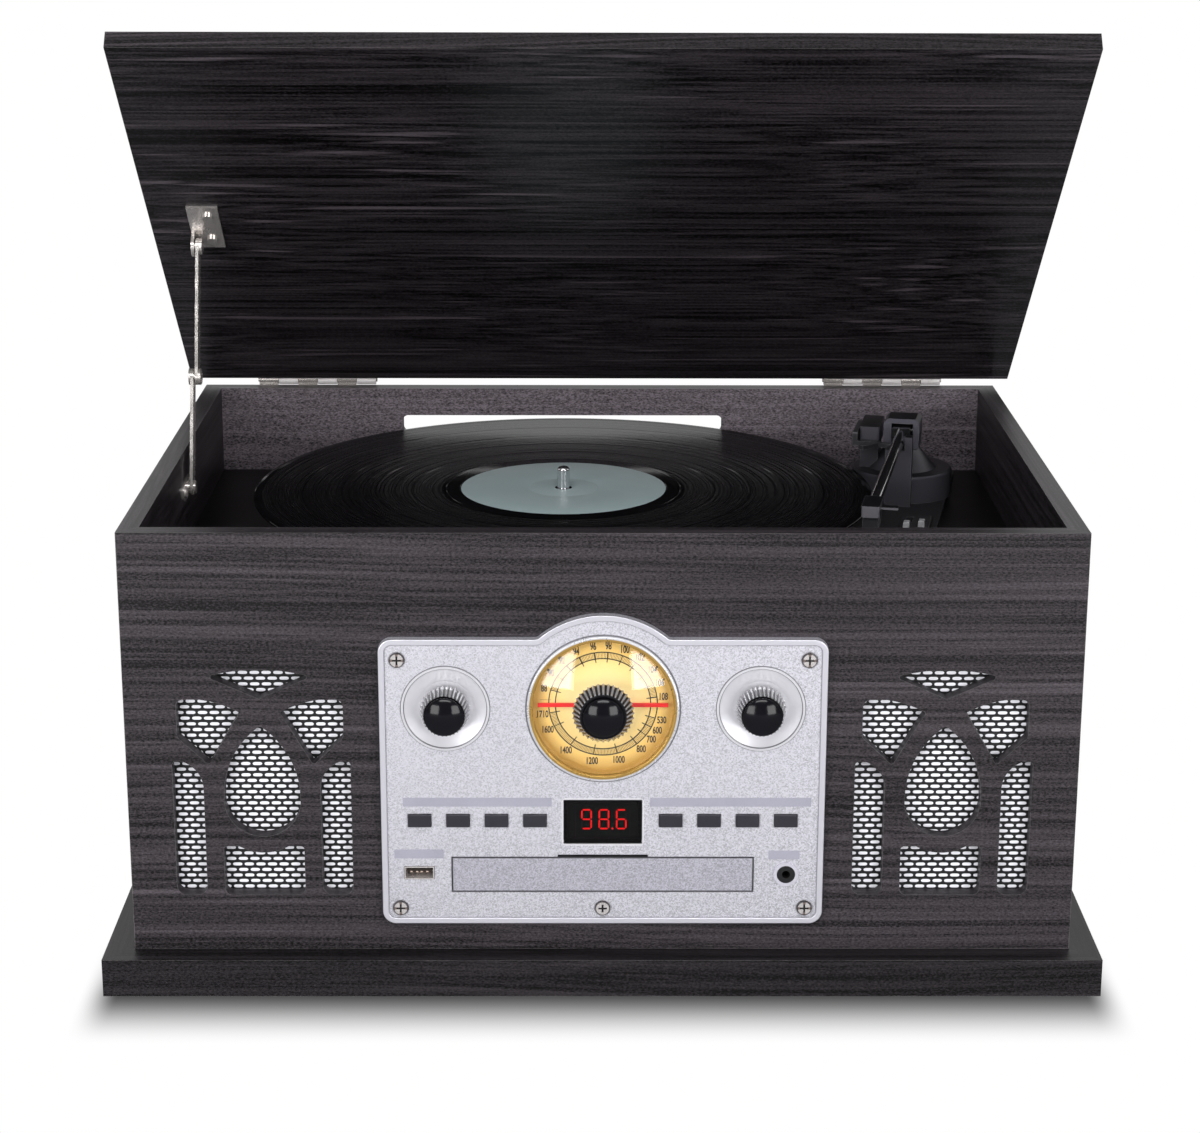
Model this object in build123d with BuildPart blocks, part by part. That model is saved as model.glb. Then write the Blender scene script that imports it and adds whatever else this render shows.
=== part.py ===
from build123d import *
import os
from math import atan2, cos, degrees, hypot, radians, sin

os.makedirs("parts", exist_ok=True)

# A music center: cabinet on a plinth, lid on two hinges and a folding stay, turntable, radio and
# disc player. Sizes are in millimetres. Heights are taken from the plinth's underside and depths
# from the cabinet's front face, unless a name says otherwise.

# Clearances
running = 0.05
loose = 0.3
gap = 0.4
hole_play = 0.2

# Cabinet
cabinet_width = 420.0
cabinet_depth = 295.5
cabinet_height = 194.0
wall = 9.0
plinth_width = 446.0
plinth_height = 17.5
plinth_overhang = 12.5
rail_width = 34.0
floor_thickness = 6.0
foot_proud = 2.0
foot_radius = 12.0
foot_inset = 24.0
deck_drop = 44.4
deck_thickness = 9.0

# Lid and hinges
lid_width = 434.8
lid_depth = 295.0
lid_thickness = 8.4
lid_open = 41.3
lid_gap = 0.8
lid_rear_inset = 1.7
hinge_x = 150.75
hinge_length = 62.4
hinge_out = 2.5
hinge_rise = 2.5
barrel_radius = 2.75
hinge_pin_radius = 1.3
leaf_thickness = 1.2
leaf_height = 20.0
leaf_round = 1.2
leaf_lap = 1.0
lid_web = 1.6
hinge_pin_proud = 0.5
knuckles = 6
hinge_screw_pitch = 22.0
screw_head_radius = 2.4
screw_radius = 1.25
screw_length = 6.0
screw_head_height = 1.3

# Folding stay
stay_depth = 147.5
stay_height = 193.5
stay_lid_reach = 146.0
stay_lid_drop = 5.9
stay_lower_length = 53.5
link_width = 8.0
link_thickness = 1.5
stay_plate_thickness = 1.2
stay_plate_radius = 9.0
stay_screw_pitch = 10.0
stay_head_radius = 3.2
stay_head_height = 1.0
link_round = 0.6
stay_screw_head = 0.9
stay_pin_radius = 2.0
rivet_head_radius = 4.0
rivet_head_height = 1.4
ear_width = 10.0
bracket_width = 15.0
bracket_length = 35.0
bracket_set_back = 9.0
bracket_screw_in = 9.4

# Front panel
panel_width = 196.0
panel_height = 133.2
panel_base = 31.4
panel_corner = 6.0
panel_thickness = 3.0
bead_width = 2.8
bead_proud = 1.0
bead_round = 0.6
shoulder_radius = 3.0
hump_radius = 43.0
panel_cut_half = 91.0
panel_cut_base = 44.3
panel_cut_top = 149.5
panel_screw_radius = 3.3
panel_screw_shank = 1.4
panel_screw_length = 9.0
panel_screw_head = 1.8
screw_pocket = 0.8
cross_reach = 1.15
cross_slot = 0.26
cross_depth = 0.7
panel_screw_spots = [(-89.8, 155.0), (89.8, 155.0), (-90.0, 38.8), (90.0, 38.8), (0.0, 38.7)]

# Radio dial
dial_height = 132.6
dial_opening = 31.0
bezel_outer = 33.4
bezel_inner = 30.9
bezel_proud = 1.5
lens_flange = 32.3
lens_thickness = 1.5
lens_dome_radius = 30.6
lens_rise = 4.9
lens_hole = 4.0
lens_play = 0.2
well_outer = 34.0
well_inner = 32.0
well_depth = 5.0
well_floor = 2.0
well_hole = 9.0
dial_plate_thickness = 1.0
pointer_length = 57.0
pointer_width = 1.8
pointer_thickness = 0.6
pointer_hub = 5.0
pointer_lift = 1.2

# Knobs
shaft_radius = 3.0
tuning_skirt = 13.75
tuning_collar = 11.0
tuning_skirt_height = 5.8
tuning_cap = 8.85
tuning_cap_height = 4.3
tuning_ribs = 36
side_knob_x = 69.0
side_knob_height = 132.7
side_skirt = 11.1
side_collar = 9.4
side_skirt_height = 9.2
side_cap = 9.0
side_cap_height = 4.2
side_ribs = 34
rib_cut = 0.55
cap_round = 2.2
dish_outer = 19.4
dish_ring = 1.1
dish_ring_proud = 0.6
dish_floor = 12.2
dish_depth = 1.4
knob_web = 1.2
shaft_socket = 9.0
bush_hole = 4.6
bush_radius = 4.2
control_radius = 8.5
control_depth = 11.0
gang_side = 22.0
gang_depth = 14.0

# Keys, display and sockets
key_xs = [-81.0, -64.0, -47.0, -30.0, 30.0, 47.0, 64.0, 81.0]
key_height = 80.4
key_width = 10.1
key_tall = 5.8
key_proud = 1.2
key_flange = 1.0
key_flange_thickness = 0.8
key_stem_radius = 1.3
key_stem_length = 5.6
key_round = 0.4
switch_side = 6.0
switch_depth = 6.0
switch_back = 1.4
board_depth = 9.5
board_thickness = 1.6
board_half = 92.0
board_base = 68.0
board_top = 98.0
board_leg_half = 74.0
board_leg_base = 45.0
board_post_radius = 2.4
board_post_spots = [(-87.0, 94.0), (87.0, 94.0), (-79.0, 47.6), (79.0, 47.6)]
window_width = 34.4
window_tall = 20.4
window_height = 79.7
window_thickness = 2.0
window_sink = 0.5
window_ledge = 1.5
display_width = 30.0
display_tall = 15.0
usb_x = -81.5
usb_height = 55.5
usb_width = 13.1
usb_tall = 5.9
usb_shell = 0.4
usb_proud = 0.4
usb_tongue_sink = 1.0
usb_tongue_rise = 0.9
usb_tongue_width = 11.1
usb_tongue_thickness = 1.8
usb_tongue_length = 8.4
aux_x = 81.5
aux_height = 55.0
aux_ring = 5.6
aux_bush_radius = 3.7
aux_bore_radius = 1.8
aux_body = 9.0
aux_ring_proud = 0.9
aux_floor = 1.0

# Disc tray
door_width = 133.6
door_tall = 16.1
door_height = 54.7
door_thickness = 2.5
notch_half = 20.0
notch_tall = 1.0
tray_width = 129.0
tray_length = 137.0
tray_base = 48.2
tray_thickness = 8.0
disc_well_radius = 60.5
disc_well_depth = 2.4
small_well_radius = 41.0
small_well_depth = 1.0
disc_depth = 66.0
tray_slot = 30.0
case_inner_half = 66.0
case_leg_x = 58.0
case_leg_front = 14.0
case_leg_back = 140.0
case_leg_radius = 4.0
case_wall = 1.6
case_front = 2.0
case_length = 150.0
case_ceiling = 64.0
hub_radius = 7.4
hub_flange = 13.0
hub_flange_height = 52.6
hub_flange_thickness = 1.6
hub_top = 57.0
hub_pin_radius = 1.5
hub_pin_length = 7.0
hub_chamfer = 1.2

# Speakers and grilles
speaker_inset = 59.5
speaker_height = 92.0
grille_cloth_depth = 7.0
cloth_thickness = 0.8
cloth_width = 88.0
cloth_tall = 116.0
cloth_height = 96.6
basket_radius = 38.0
basket_flange = 1.6
basket_flange_width = 98.0
basket_flange_tall = 84.0
basket_wall = 1.2
basket_depth = 24.0
basket_neck = 20.0
basket_corner = 6.0
magnet_radius = 22.5
magnet_depth = 12.0
cone_radius = 35.2
cone_neck = 10.0
cone_depth = 18.0
cone_wall = 0.8
speaker_screw_out = 46.5
speaker_screw_up = 37.0

# Fretwork, about each speaker's middle line
spear_half = 23.0
spear_end_height = 146.3
spear_crown_height = 149.5
spear_point_height = 136.0
spear_round = 1.0
petal_inner = 8.8
petal_inner_height = 129.8
petal_top_height = 135.7
petal_shoulder = 26.0
petal_outer = 36.5
petal_outer_height = 118.2
petal_point = 23.0
petal_point_height = 105.3
petal_bulge = 0.9
petal_inner_round = 0.8
petal_point_round = 1.2
petal_outer_round = 3.2
drop_half = 16.8
drop_wide_height = 90.0
drop_apex_height = 123.6
drop_base_height = 71.6
drop_flank = 11.8
drop_flank_height = 110.2
drop_apex_round = 1.6
bar_inner = 25.8
bar_outer = 39.3
bar_base = 43.7
bar_top = 107.0
bar_bend = 35.0
bar_flank = 28.6
bar_flank_height = 102.4
bar_inner_top = 95.0
bar_base_round = 4.2
bar_top_round = 1.8
sill_half = 17.9
sill_top = 66.9
sill_scoop_half = 11.0
sill_scoop_height = 63.9
sill_base_round = 3.0
sill_top_round = 1.6

# Turntable
record_x = -18.5
record_rear = 134.25
record_radius = 150.5
record_thickness = 1.4
record_hole = 3.65
record_height = 189.8
record_edge = 0.4
mat_thickness = 1.2
mat_radius = 97.0
platter_radius = 98.0
platter_top_thickness = 2.5
platter_skirt = 2.0
platter_skirt_drop = 13.0
belt_rim_radius = 60.0
belt_rim_wall = 3.0
belt_rim_drop = 12.0
platter_hub_radius = 9.0
spindle_radius = 3.0
spindle_bearing_radius = 3.3
spindle_proud = 10.8
spindle_round = 1.8
spindle_flange = 8.0
chassis_thickness = 3.0
chassis_radius = 106.0
chassis_right = 17.0
chassis_front = -110.0
chassis_rear = 54.5
chassis_corner = 6.5
slot_left = -105.0
slot_right = 65.0
slot_base = 186.6
slot_top = 197.0
slot_corner = 3.0
chassis_round = 0.8
pulley_radius = 4.5
pulley_tall = 7.0
pulley_reach = 78.0
pulley_bearing = 195.0
motor_shaft_radius = 1.0
motor_radius = 16.0
motor_depth = 20.0
motor_socket = 8.0
belt_thickness = 0.7
belt_width = 4.0
belt_height = 175.5

# Tonearm, in its own frame: across to its right, along away from its head
arm_x = 155.0
arm_behind = 68.75
arm_angle = 11.5
arm_forward = -90.0
arm_height = 202.5
arm_tube_radius = 3.0
arm_root_half = 4.5
arm_root_tall = 7.0
arm_root_drop = 3.5
arm_root_front = -12.0
arm_root_back = 4.0
drum_radius = 25.5
drum_top = 184.0
drum_round = 1.5
cone_base = 17.5
cone_top_radius = 8.8
cone_top = 194.0
swing_shaft_radius = 3.0
swing_shaft_foot = 182.0
block_left = -9.5
block_right = 8.5
block_front = -5.2
block_back = 14.0
block_base = 194.3
block_top = 209.0
block_bevel = 2.0
block_slot_half = 5.5
block_slot_base = 197.0
block_slot_top = 207.0
block_slot_back = 8.0
lift_pin_radius = 1.5
housing_left = -21.5
housing_right = -11.3
housing_front = -9.0
housing_back = 18.0
housing_base = 196.0
housing_top = 205.5
housing_corner = 1.5
pedestal_length = 17.0
pedestal_middle = 1.5
pedestal_lap = 1.0
rest_front = -31.0
rest_back = -25.0
rest_left = -6.0
rest_inner = 3.7
rest_outer = 7.2
rest_top = 206.0
rest_web_back = -22.0
rest_cradle = 199.2
shell_half = 4.2
shell_front = -168.0
shell_back = -148.0
shell_top = 205.8
shell_base = 200.6
shell_corner = 1.2
finger_base = 203.6
finger_thickness = 1.0
finger_reach = 8.0
finger_width = 5.0
finger_along = -161.0
finger_lap = 1.0
cartridge_half = 3.6
cartridge_front = -166.0
cartridge_back = -150.0
cartridge_base = 194.2
stylus_reach = 163.0
stylus_radius = 0.8
stylus_tip = 0.2
stylus_gap = 0.35
cue_bar_inner = 16.0
cue_bar_outer = 19.0
cue_bar_base = 196.8
cue_bar_top = 199.0
cue_bar_sweep = 48.0
cue_bar_lead = 8.0
cue_plate_thickness = 2.4
cue_plate_front = -14.0
cue_plate_back = 13.0
cue_plate_top = 204.0
cue_plate_round = 1.5
cue_pivot_along = -4.0
cue_pivot_height = 200.0
cue_pin_length = 6.0
cue_boss = 4.0
cue_web_right = -12.0
cue_web_along = -12.3
cue_web_width = 3.4
cue_handle_reach = 30.0
cue_handle_width = 3.4
cue_handle_turn = -130.0
selector_left = 6.0
selector_right = 21.0
selector_front = -102.0
selector_back = -60.0
selector_top = 174.2
selector_groove = 3.6
selector_corner = 2.5
speed_across = 10.0
stop_across = 17.0
speed_along = -84.0
stop_along = -80.0
speed_travel = 16.0
stop_travel = 8.0
switch_length = 5.0
switch_proud = 3.0
switch_round = 0.6
groove_depth = 2.6

# Inside and behind
main_board_width = 120.0
main_board_depth = 90.0
main_board_middle = 232.0
main_board_height = 34.0
standoff_radius = 3.0
standoff_inset = 7.0
jack_plate_width = 90.0
jack_plate_tall = 46.0
jack_plate_height = 60.0
jack_plate_thickness = 2.0
jack_cut_margin = 7.0
jack_pitch = 16.0
jack_radius = 4.15
jack_length = 8.0
jack_bore = 1.7
jack_body_radius = 5.15
jack_screw_inset = 4.0
jack_middle = 18.0
inlet_x = -22.0
inlet_radius = 5.0
inlet_bore = 2.8
inlet_pin = 1.05
inlet_floor = 2.0
inlet_pin_sink = 1.0

# Places worked out from the sizes above
rim_height = plinth_height + cabinet_height
deck_height = rim_height - deck_drop
chassis_top = deck_height + chassis_thickness
floor_top = plinth_height + floor_thickness
panel_middle = panel_base + panel_height / 2
knob_base = panel_thickness + dish_ring_proud
dome_front = panel_thickness + lens_rise
tuning_front = dome_front + loose + tuning_skirt_height + tuning_cap_height
front_reach = max(tuning_front, plinth_overhang)
record_depth = cabinet_depth - record_rear
arm_depth = record_depth + arm_behind
back_reach = max(record_depth + record_radius, cabinet_depth + plinth_overhang)
front_y = (front_reach - back_reach) / 2
half_width = cabinet_width / 2
hinge_depth = cabinet_depth + hinge_out
hinge_height = rim_height + hinge_rise
leaf_top = hinge_height - barrel_radius - gap
speaker_x = half_width - speaker_inset
lid_base = rim_height + lid_gap
lid_back = cabinet_depth - lid_rear_inset
mat_height = record_height - record_thickness
platter_height = mat_height - mat_thickness
stay_x = -half_width + wall
stay_lower_face = stay_x + stay_plate_thickness + stay_screw_head + gap
dial_axis = Axis((0, front_y, foot_proud + dial_height), (0, 1, 0))

STAND = (Align.CENTER, Align.CENTER, Align.MIN)
HANG = (Align.CENTER, Align.CENTER, Align.MAX)


def level(height):
    """A level plane at a height: its x is across and its y is the depth."""
    return Plane(origin=(0, front_y, foot_proud + height), x_dir=(1, 0, 0), z_dir=(0, 0, 1))


def upright(depth):
    """A plane that faces the front at a depth: its x is across and its y is the height."""
    return Plane(origin=(0, front_y + depth, foot_proud), x_dir=(1, 0, 0), z_dir=(0, -1, 0))


def rearward(depth):
    """A plane that faces the back at a depth: its x runs to the left and its y is the height."""
    return Plane(origin=(0, front_y + depth, foot_proud), x_dir=(-1, 0, 0), z_dir=(0, 1, 0))


def sideways(across):
    """A plane that faces right: its x is the depth and its y is the height."""
    return Plane(origin=(across, front_y, foot_proud), x_dir=(0, 1, 0), z_dir=(1, 0, 0))


def arm_level(height):
    """A level plane at the tonearm's pivot, turned so that its y runs back along the arm."""
    turned = (cos(radians(arm_angle)), -sin(radians(arm_angle)), 0)
    return Plane(origin=(arm_x, front_y + arm_depth, foot_proud + height), x_dir=turned, z_dir=(0, 0, 1))


def arm_side(across):
    """A plane across the tonearm's frame: its x runs back along the arm and its y is the height."""
    turn = radians(arm_angle)
    start = Vector(arm_x, front_y + arm_depth, foot_proud) + Vector(cos(turn), -sin(turn), 0) * across
    return Plane(origin=start, x_dir=(sin(turn), cos(turn), 0), z_dir=(cos(turn), -sin(turn), 0))


def arm_spot(across, along):
    """Where a place in the tonearm's frame lies across and in depth."""
    turn = radians(arm_angle)
    x = arm_x + across * cos(turn) + along * sin(turn)
    return (x, arm_depth - across * sin(turn) + along * cos(turn))


def lid_level(height):
    """A plane level with the closed lid, turned with it to where it stands open, from the hinge pin."""
    turn = radians(lid_open)
    pin = (0, front_y + hinge_depth, foot_proud + hinge_height)
    return Plane(origin=pin, x_dir=(1, 0, 0), z_dir=(0, sin(turn), cos(turn))).offset(height - hinge_height)


def lid_side(across):
    """A plane that faces right on the open lid: its x runs back from the hinge pin and its y up."""
    turn = radians(lid_open)
    pin = (across, front_y + hinge_depth, foot_proud + hinge_height)
    return Plane(origin=pin, x_dir=(0, cos(turn), -sin(turn)), z_dir=(1, 0, 0))


def save(piece, name):
    """Label a finished piece and write it."""
    piece.part.label = name
    export_step(piece.part, f"parts/{name}.step")


def save_group(pieces, name):
    """Write separate pieces that share one node."""
    group = Compound(children=[piece for builder in pieces for piece in builder.part.solids()])
    group.label = name
    export_step(group, f"parts/{name}.step")


def mitred_corners(side, half, front, back, width):
    """Corners of one of four mitred boards round a rectangle: 0 front, 1 right, 2 back, 3 left."""
    outer = [(-half, front), (half, front), (half, back), (-half, back)]
    inner = [
        (-half + width, front + width),
        (half - width, front + width),
        (half - width, back - width),
        (-half + width, back - width),
    ]
    after = (side + 1) % 4
    return [outer[side], outer[after], inner[after], inner[side]]


def mitred_board(corners, base, tall):
    """A mitred board that stands on a height."""
    with BuildPart() as board:
        with BuildSketch(level(base)):
            Polygon(*corners, align=None)
        extrude(amount=tall)
    return board


def slab(left, right, front, back, base, top):
    """A plain block between two places across, two depths and two heights."""
    with BuildPart(level(base)) as block:
        with Locations(((left + right) / 2, (front + back) / 2)):
            Box(right - left, back - front, top - base, align=STAND)
    return block


# Plinth: four mitred rails, and rubber feet under them
rail_back = cabinet_depth + plinth_overhang
rails = [
    mitred_board(
        mitred_corners(side, plinth_width / 2, -plinth_overhang, rail_back, rail_width), 0, plinth_height
    )
    for side in range(4)
]
save_group(rails, "plinth_rails")

foot_x = plinth_width / 2 - foot_inset
foot_spots = [
    (x, d) for x in (-foot_x, foot_x) for d in (foot_inset - plinth_overhang, rail_back - foot_inset)
]
with BuildPart(level(0)) as feet:
    with Locations(*foot_spots):
        Cylinder(foot_radius, foot_proud, align=HANG)
save(feet, "feet")

# Bottom board, on the rails inside the walls
with BuildPart() as bottom_board:
    with BuildSketch(level(plinth_height)):
        with Locations((0, cabinet_depth / 2)):
            Rectangle(cabinet_width - 2 * wall, cabinet_depth - 2 * wall)
    extrude(amount=floor_thickness)
save(bottom_board, "bottom_board")

# Fretwork openings, one sketch for each kind
with BuildSketch() as spear:
    with BuildLine():
        ThreePointArc(
            (-spear_half, spear_end_height), (0, spear_crown_height), (spear_half, spear_end_height)
        )
        Polyline(
            (spear_half, spear_end_height), (0, spear_point_height), (-spear_half, spear_end_height)
        )
    make_face()
    fillet(spear.vertices(), spear_round)

with BuildSketch() as petal:
    with BuildLine():
        Line((petal_inner, petal_inner_height), (petal_point, petal_point_height))
        Line((petal_point, petal_point_height), (petal_outer, petal_outer_height))
        Line((petal_outer, petal_outer_height), (petal_outer, petal_top_height))
        Line((petal_outer, petal_top_height), (petal_shoulder, petal_top_height))
        ThreePointArc(
            (petal_shoulder, petal_top_height),
            (
                (petal_shoulder + petal_inner) / 2,
                (petal_top_height + petal_inner_height) / 2 + petal_bulge,
            ),
            (petal_inner, petal_inner_height),
        )
    make_face()
    fillet(petal.vertices().sort_by(Axis.X)[0], petal_inner_round)
    fillet(petal.vertices().sort_by(Axis.Y)[0], petal_point_round)
    fillet(petal.vertices().sort_by(Axis.X)[-2:], petal_outer_round)

with BuildSketch() as drop:
    with BuildLine():
        ThreePointArc(
            (drop_half, drop_wide_height), (0, drop_base_height), (-drop_half, drop_wide_height)
        )
        for side in (-1, 1):
            ThreePointArc(
                (side * drop_half, drop_wide_height),
                (side * drop_flank, drop_flank_height),
                (0, drop_apex_height),
            )
    make_face()
    fillet(drop.vertices().sort_by(Axis.Y)[-1], drop_apex_round)

with BuildSketch() as bar:
    with BuildLine():
        ThreePointArc(
            (bar_bend, bar_top), (bar_flank, bar_flank_height), (bar_inner, bar_inner_top)
        )
        Polyline(
            (bar_inner, bar_inner_top),
            (bar_inner, bar_base),
            (bar_outer, bar_base),
            (bar_outer, bar_top),
            (bar_bend, bar_top),
        )
    make_face()
    fillet(bar.vertices().group_by(Axis.Y)[0], bar_base_round)
    fillet(bar.vertices().group_by(Axis.Y)[-1].sort_by(Axis.X)[-1], bar_top_round)

with BuildSketch() as sill:
    with BuildLine():
        ThreePointArc(
            (-sill_scoop_half, sill_top), (0, sill_scoop_height), (sill_scoop_half, sill_top)
        )
        Polyline(
            (sill_scoop_half, sill_top),
            (sill_half, sill_top),
            (sill_half, bar_base),
            (-sill_half, bar_base),
            (-sill_half, sill_top),
            (-sill_scoop_half, sill_top),
        )
    make_face()
    fillet(sill.vertices().group_by(Axis.Y)[0], sill_base_round)
    fillet(sill.vertices().group_by(Axis.X)[0].sort_by(Axis.Y)[-1], sill_top_round)
    fillet(sill.vertices().group_by(Axis.X)[-1].sort_by(Axis.Y)[-1], sill_top_round)

with BuildSketch() as fretwork:
    add(spear.sketch)
    add(petal.sketch)
    mirror(petal.sketch, about=Plane.YZ)
    add(drop.sketch)
    add(bar.sketch)
    mirror(bar.sketch, about=Plane.YZ)
    add(sill.sketch)

speaker_spots = [(-speaker_x, 0), (speaker_x, 0)]
speaker_screw_spots = [
    (side * speaker_x + out * speaker_screw_out, speaker_height + up * speaker_screw_up)
    for side in (-1, 1)
    for out in (-1, 1)
    for up in (-1, 1)
]

# Front board: fretwork, the opening behind the front panel, and rebates for the grille cloths
with BuildPart() as front_board:
    with BuildSketch(level(plinth_height)):
        Polygon(*mitred_corners(0, half_width, 0, cabinet_depth, wall), align=None)
    extrude(amount=cabinet_height)
    with BuildSketch(upright(0)):
        with Locations(*speaker_spots):
            add(fretwork.sketch)
        with Locations((0, (panel_cut_base + panel_cut_top) / 2)):
            Rectangle(2 * panel_cut_half, panel_cut_top - panel_cut_base)
        with Locations((0, dial_height)):
            Circle(well_outer + gap)
        with Locations(*panel_screw_spots):
            Circle(panel_screw_shank + running)
    extrude(amount=-wall, mode=Mode.SUBTRACT)
    with BuildSketch(upright(wall)):
        with Locations((-speaker_x, cloth_height), (speaker_x, cloth_height)):
            Rectangle(cloth_width + 2 * loose, cloth_tall + 2 * loose)
    extrude(amount=wall - grille_cloth_depth, mode=Mode.SUBTRACT)
    with Locations(upright(wall)):
        with Locations(*speaker_screw_spots):
            Cylinder(screw_radius + running, screw_length, align=STAND, mode=Mode.SUBTRACT)
save(front_board, "front_board")

# Back board: the slot that the record's edge passes through, hinge screw holes, jack plate cut-out
hinge_screw_spots = [
    (side * hinge_x + step * hinge_screw_pitch, leaf_top - leaf_height / 2)
    for side in (-1, 1)
    for step in (-1, 0, 1)
]
jack_screw_x = jack_plate_width / 2 - jack_screw_inset
jack_screw_spots = [(-jack_screw_x, jack_plate_height), (jack_screw_x, jack_plate_height)]
with BuildPart() as back_board:
    with BuildSketch(level(plinth_height)):
        Polygon(*mitred_corners(2, half_width, 0, cabinet_depth, wall), align=None)
    extrude(amount=cabinet_height)
    with BuildSketch(upright(cabinet_depth)):
        with Locations(((slot_left + slot_right) / 2, (slot_base + slot_top) / 2)):
            RectangleRounded(slot_right - slot_left, slot_top - slot_base, slot_corner)
        with Locations((0, jack_plate_height)):
            Rectangle(jack_plate_width - 2 * jack_cut_margin, jack_plate_tall - 2 * jack_cut_margin)
    extrude(amount=wall, mode=Mode.SUBTRACT)
    with BuildSketch(upright(cabinet_depth)):
        with Locations(*hinge_screw_spots, *jack_screw_spots):
            Circle(screw_radius + running)
    extrude(amount=screw_length + running, mode=Mode.SUBTRACT)
save(back_board, "back_board")

# Side boards, with screw holes for the stay in the left one
stay_plate_screws = [(stay_depth + step * stay_screw_pitch, stay_height) for step in (-1, 1)]
right_board = mitred_board(
    mitred_corners(1, half_width, 0, cabinet_depth, wall), plinth_height, cabinet_height
)
with BuildPart() as left_board:
    with BuildSketch(level(plinth_height)):
        Polygon(*mitred_corners(3, half_width, 0, cabinet_depth, wall), align=None)
    extrude(amount=cabinet_height)
    with Locations(sideways(stay_x)):
        with Locations(*stay_plate_screws):
            Cylinder(screw_radius + running, screw_length, align=HANG, mode=Mode.SUBTRACT)
save_group([left_board, right_board], "side_boards")

# Deck board that closes the well's floor, with a hole for the motor
pulley_turn = radians(pulley_bearing)
pulley_x = record_x + pulley_reach * cos(pulley_turn)
pulley_depth = record_depth + pulley_reach * sin(pulley_turn)
with BuildPart() as deck_board:
    with BuildSketch(level(deck_height)):
        with Locations((0, cabinet_depth / 2)):
            Rectangle(cabinet_width - 2 * wall, cabinet_depth - 2 * wall)
        with Locations((pulley_x, pulley_depth)):
            Circle(motor_radius + gap, mode=Mode.SUBTRACT)
        with Locations((record_x, record_depth)):
            Circle(platter_hub_radius, mode=Mode.SUBTRACT)
    extrude(amount=-deck_thickness)
save(deck_board, "deck_board")

# Lid board, drawn as it stands open
lid_middle = lid_back - lid_depth / 2 - hinge_depth
lid_leaf_back = lid_back + leaf_thickness
lid_screw_height = lid_base + lid_thickness / 2
bracket_x = stay_lower_face + bracket_screw_in
stay_reach_spots = [
    (bracket_x, stay_lid_reach + bracket_set_back + step * stay_screw_pitch) for step in (-1, 1)
]
lid_screw_spots = [side * hinge_x + step * hinge_screw_pitch for side in (-1, 1) for step in (-1, 0, 1)]
with BuildPart() as lid_board:
    with BuildSketch(lid_level(lid_base)):
        with Locations((0, lid_middle)):
            Rectangle(lid_width, lid_depth)
    extrude(amount=lid_thickness)
    with Locations(lid_level(lid_screw_height)):
        with Locations(*[(x, lid_back - hinge_depth, 0) for x in lid_screw_spots]):
            Cylinder(
                screw_radius + running,
                screw_length,
                rotation=(90, 0, 0),
                align=STAND,
                mode=Mode.SUBTRACT,
            )
    with Locations(lid_level(lid_base)):
        with Locations(*[(x, -reach, 0) for x, reach in stay_reach_spots]):
            Cylinder(screw_radius + running, screw_length, align=STAND, mode=Mode.SUBTRACT)
save(lid_board, "lid_board")

# Hinges: leaves on the backs of the cabinet and the lid, with alternate knuckles on one pin each
knuckle_length = hinge_length / knuckles
knuckle_spots = [
    [
        side * hinge_x - hinge_length / 2 + (step + 0.5) * knuckle_length
        for side in (-1, 1)
        for step in range(first, knuckles, 2)
    ]
    for first in (0, 1)
]
with BuildPart() as cabinet_leaves:
    with BuildSketch(upright(cabinet_depth + leaf_thickness)):
        with Locations(*[(side * hinge_x, leaf_top - leaf_height / 2) for side in (-1, 1)]):
            RectangleRounded(hinge_length, leaf_height, leaf_round)
    extrude(amount=leaf_thickness)
    with BuildSketch(upright(cabinet_depth + leaf_thickness)):
        with Locations(*[(x, (leaf_top + hinge_height - leaf_lap) / 2) for x in knuckle_spots[0]]):
            Rectangle(knuckle_length - gap, hinge_height - leaf_top + leaf_lap)
    extrude(amount=leaf_thickness)
    with Locations(sideways(0)):
        with Locations(*[(hinge_depth, hinge_height, x) for x in knuckle_spots[0]]):
            Cylinder(barrel_radius, knuckle_length - gap)
            Cylinder(hinge_pin_radius + running, knuckle_length, mode=Mode.SUBTRACT)
    with BuildSketch(upright(cabinet_depth)):
        with Locations(*hinge_screw_spots):
            Circle(screw_head_radius + running)
    extrude(amount=-leaf_thickness, mode=Mode.SUBTRACT)
with BuildPart(sideways(0)) as hinge_pins:
    with Locations(*[(hinge_depth, hinge_height, side * hinge_x) for side in (-1, 1)]):
        Cylinder(hinge_pin_radius, hinge_length + 2 * hinge_pin_proud)
with BuildPart(upright(cabinet_depth + leaf_thickness)) as cabinet_hinge_screws:
    with Locations(*hinge_screw_spots):
        Cylinder(screw_head_radius, leaf_thickness, align=STAND)
        Cylinder(screw_radius, leaf_thickness + screw_length, align=STAND)
save_group([cabinet_leaves, hinge_pins, cabinet_hinge_screws], "hinge_cabinet_leaves")

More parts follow.
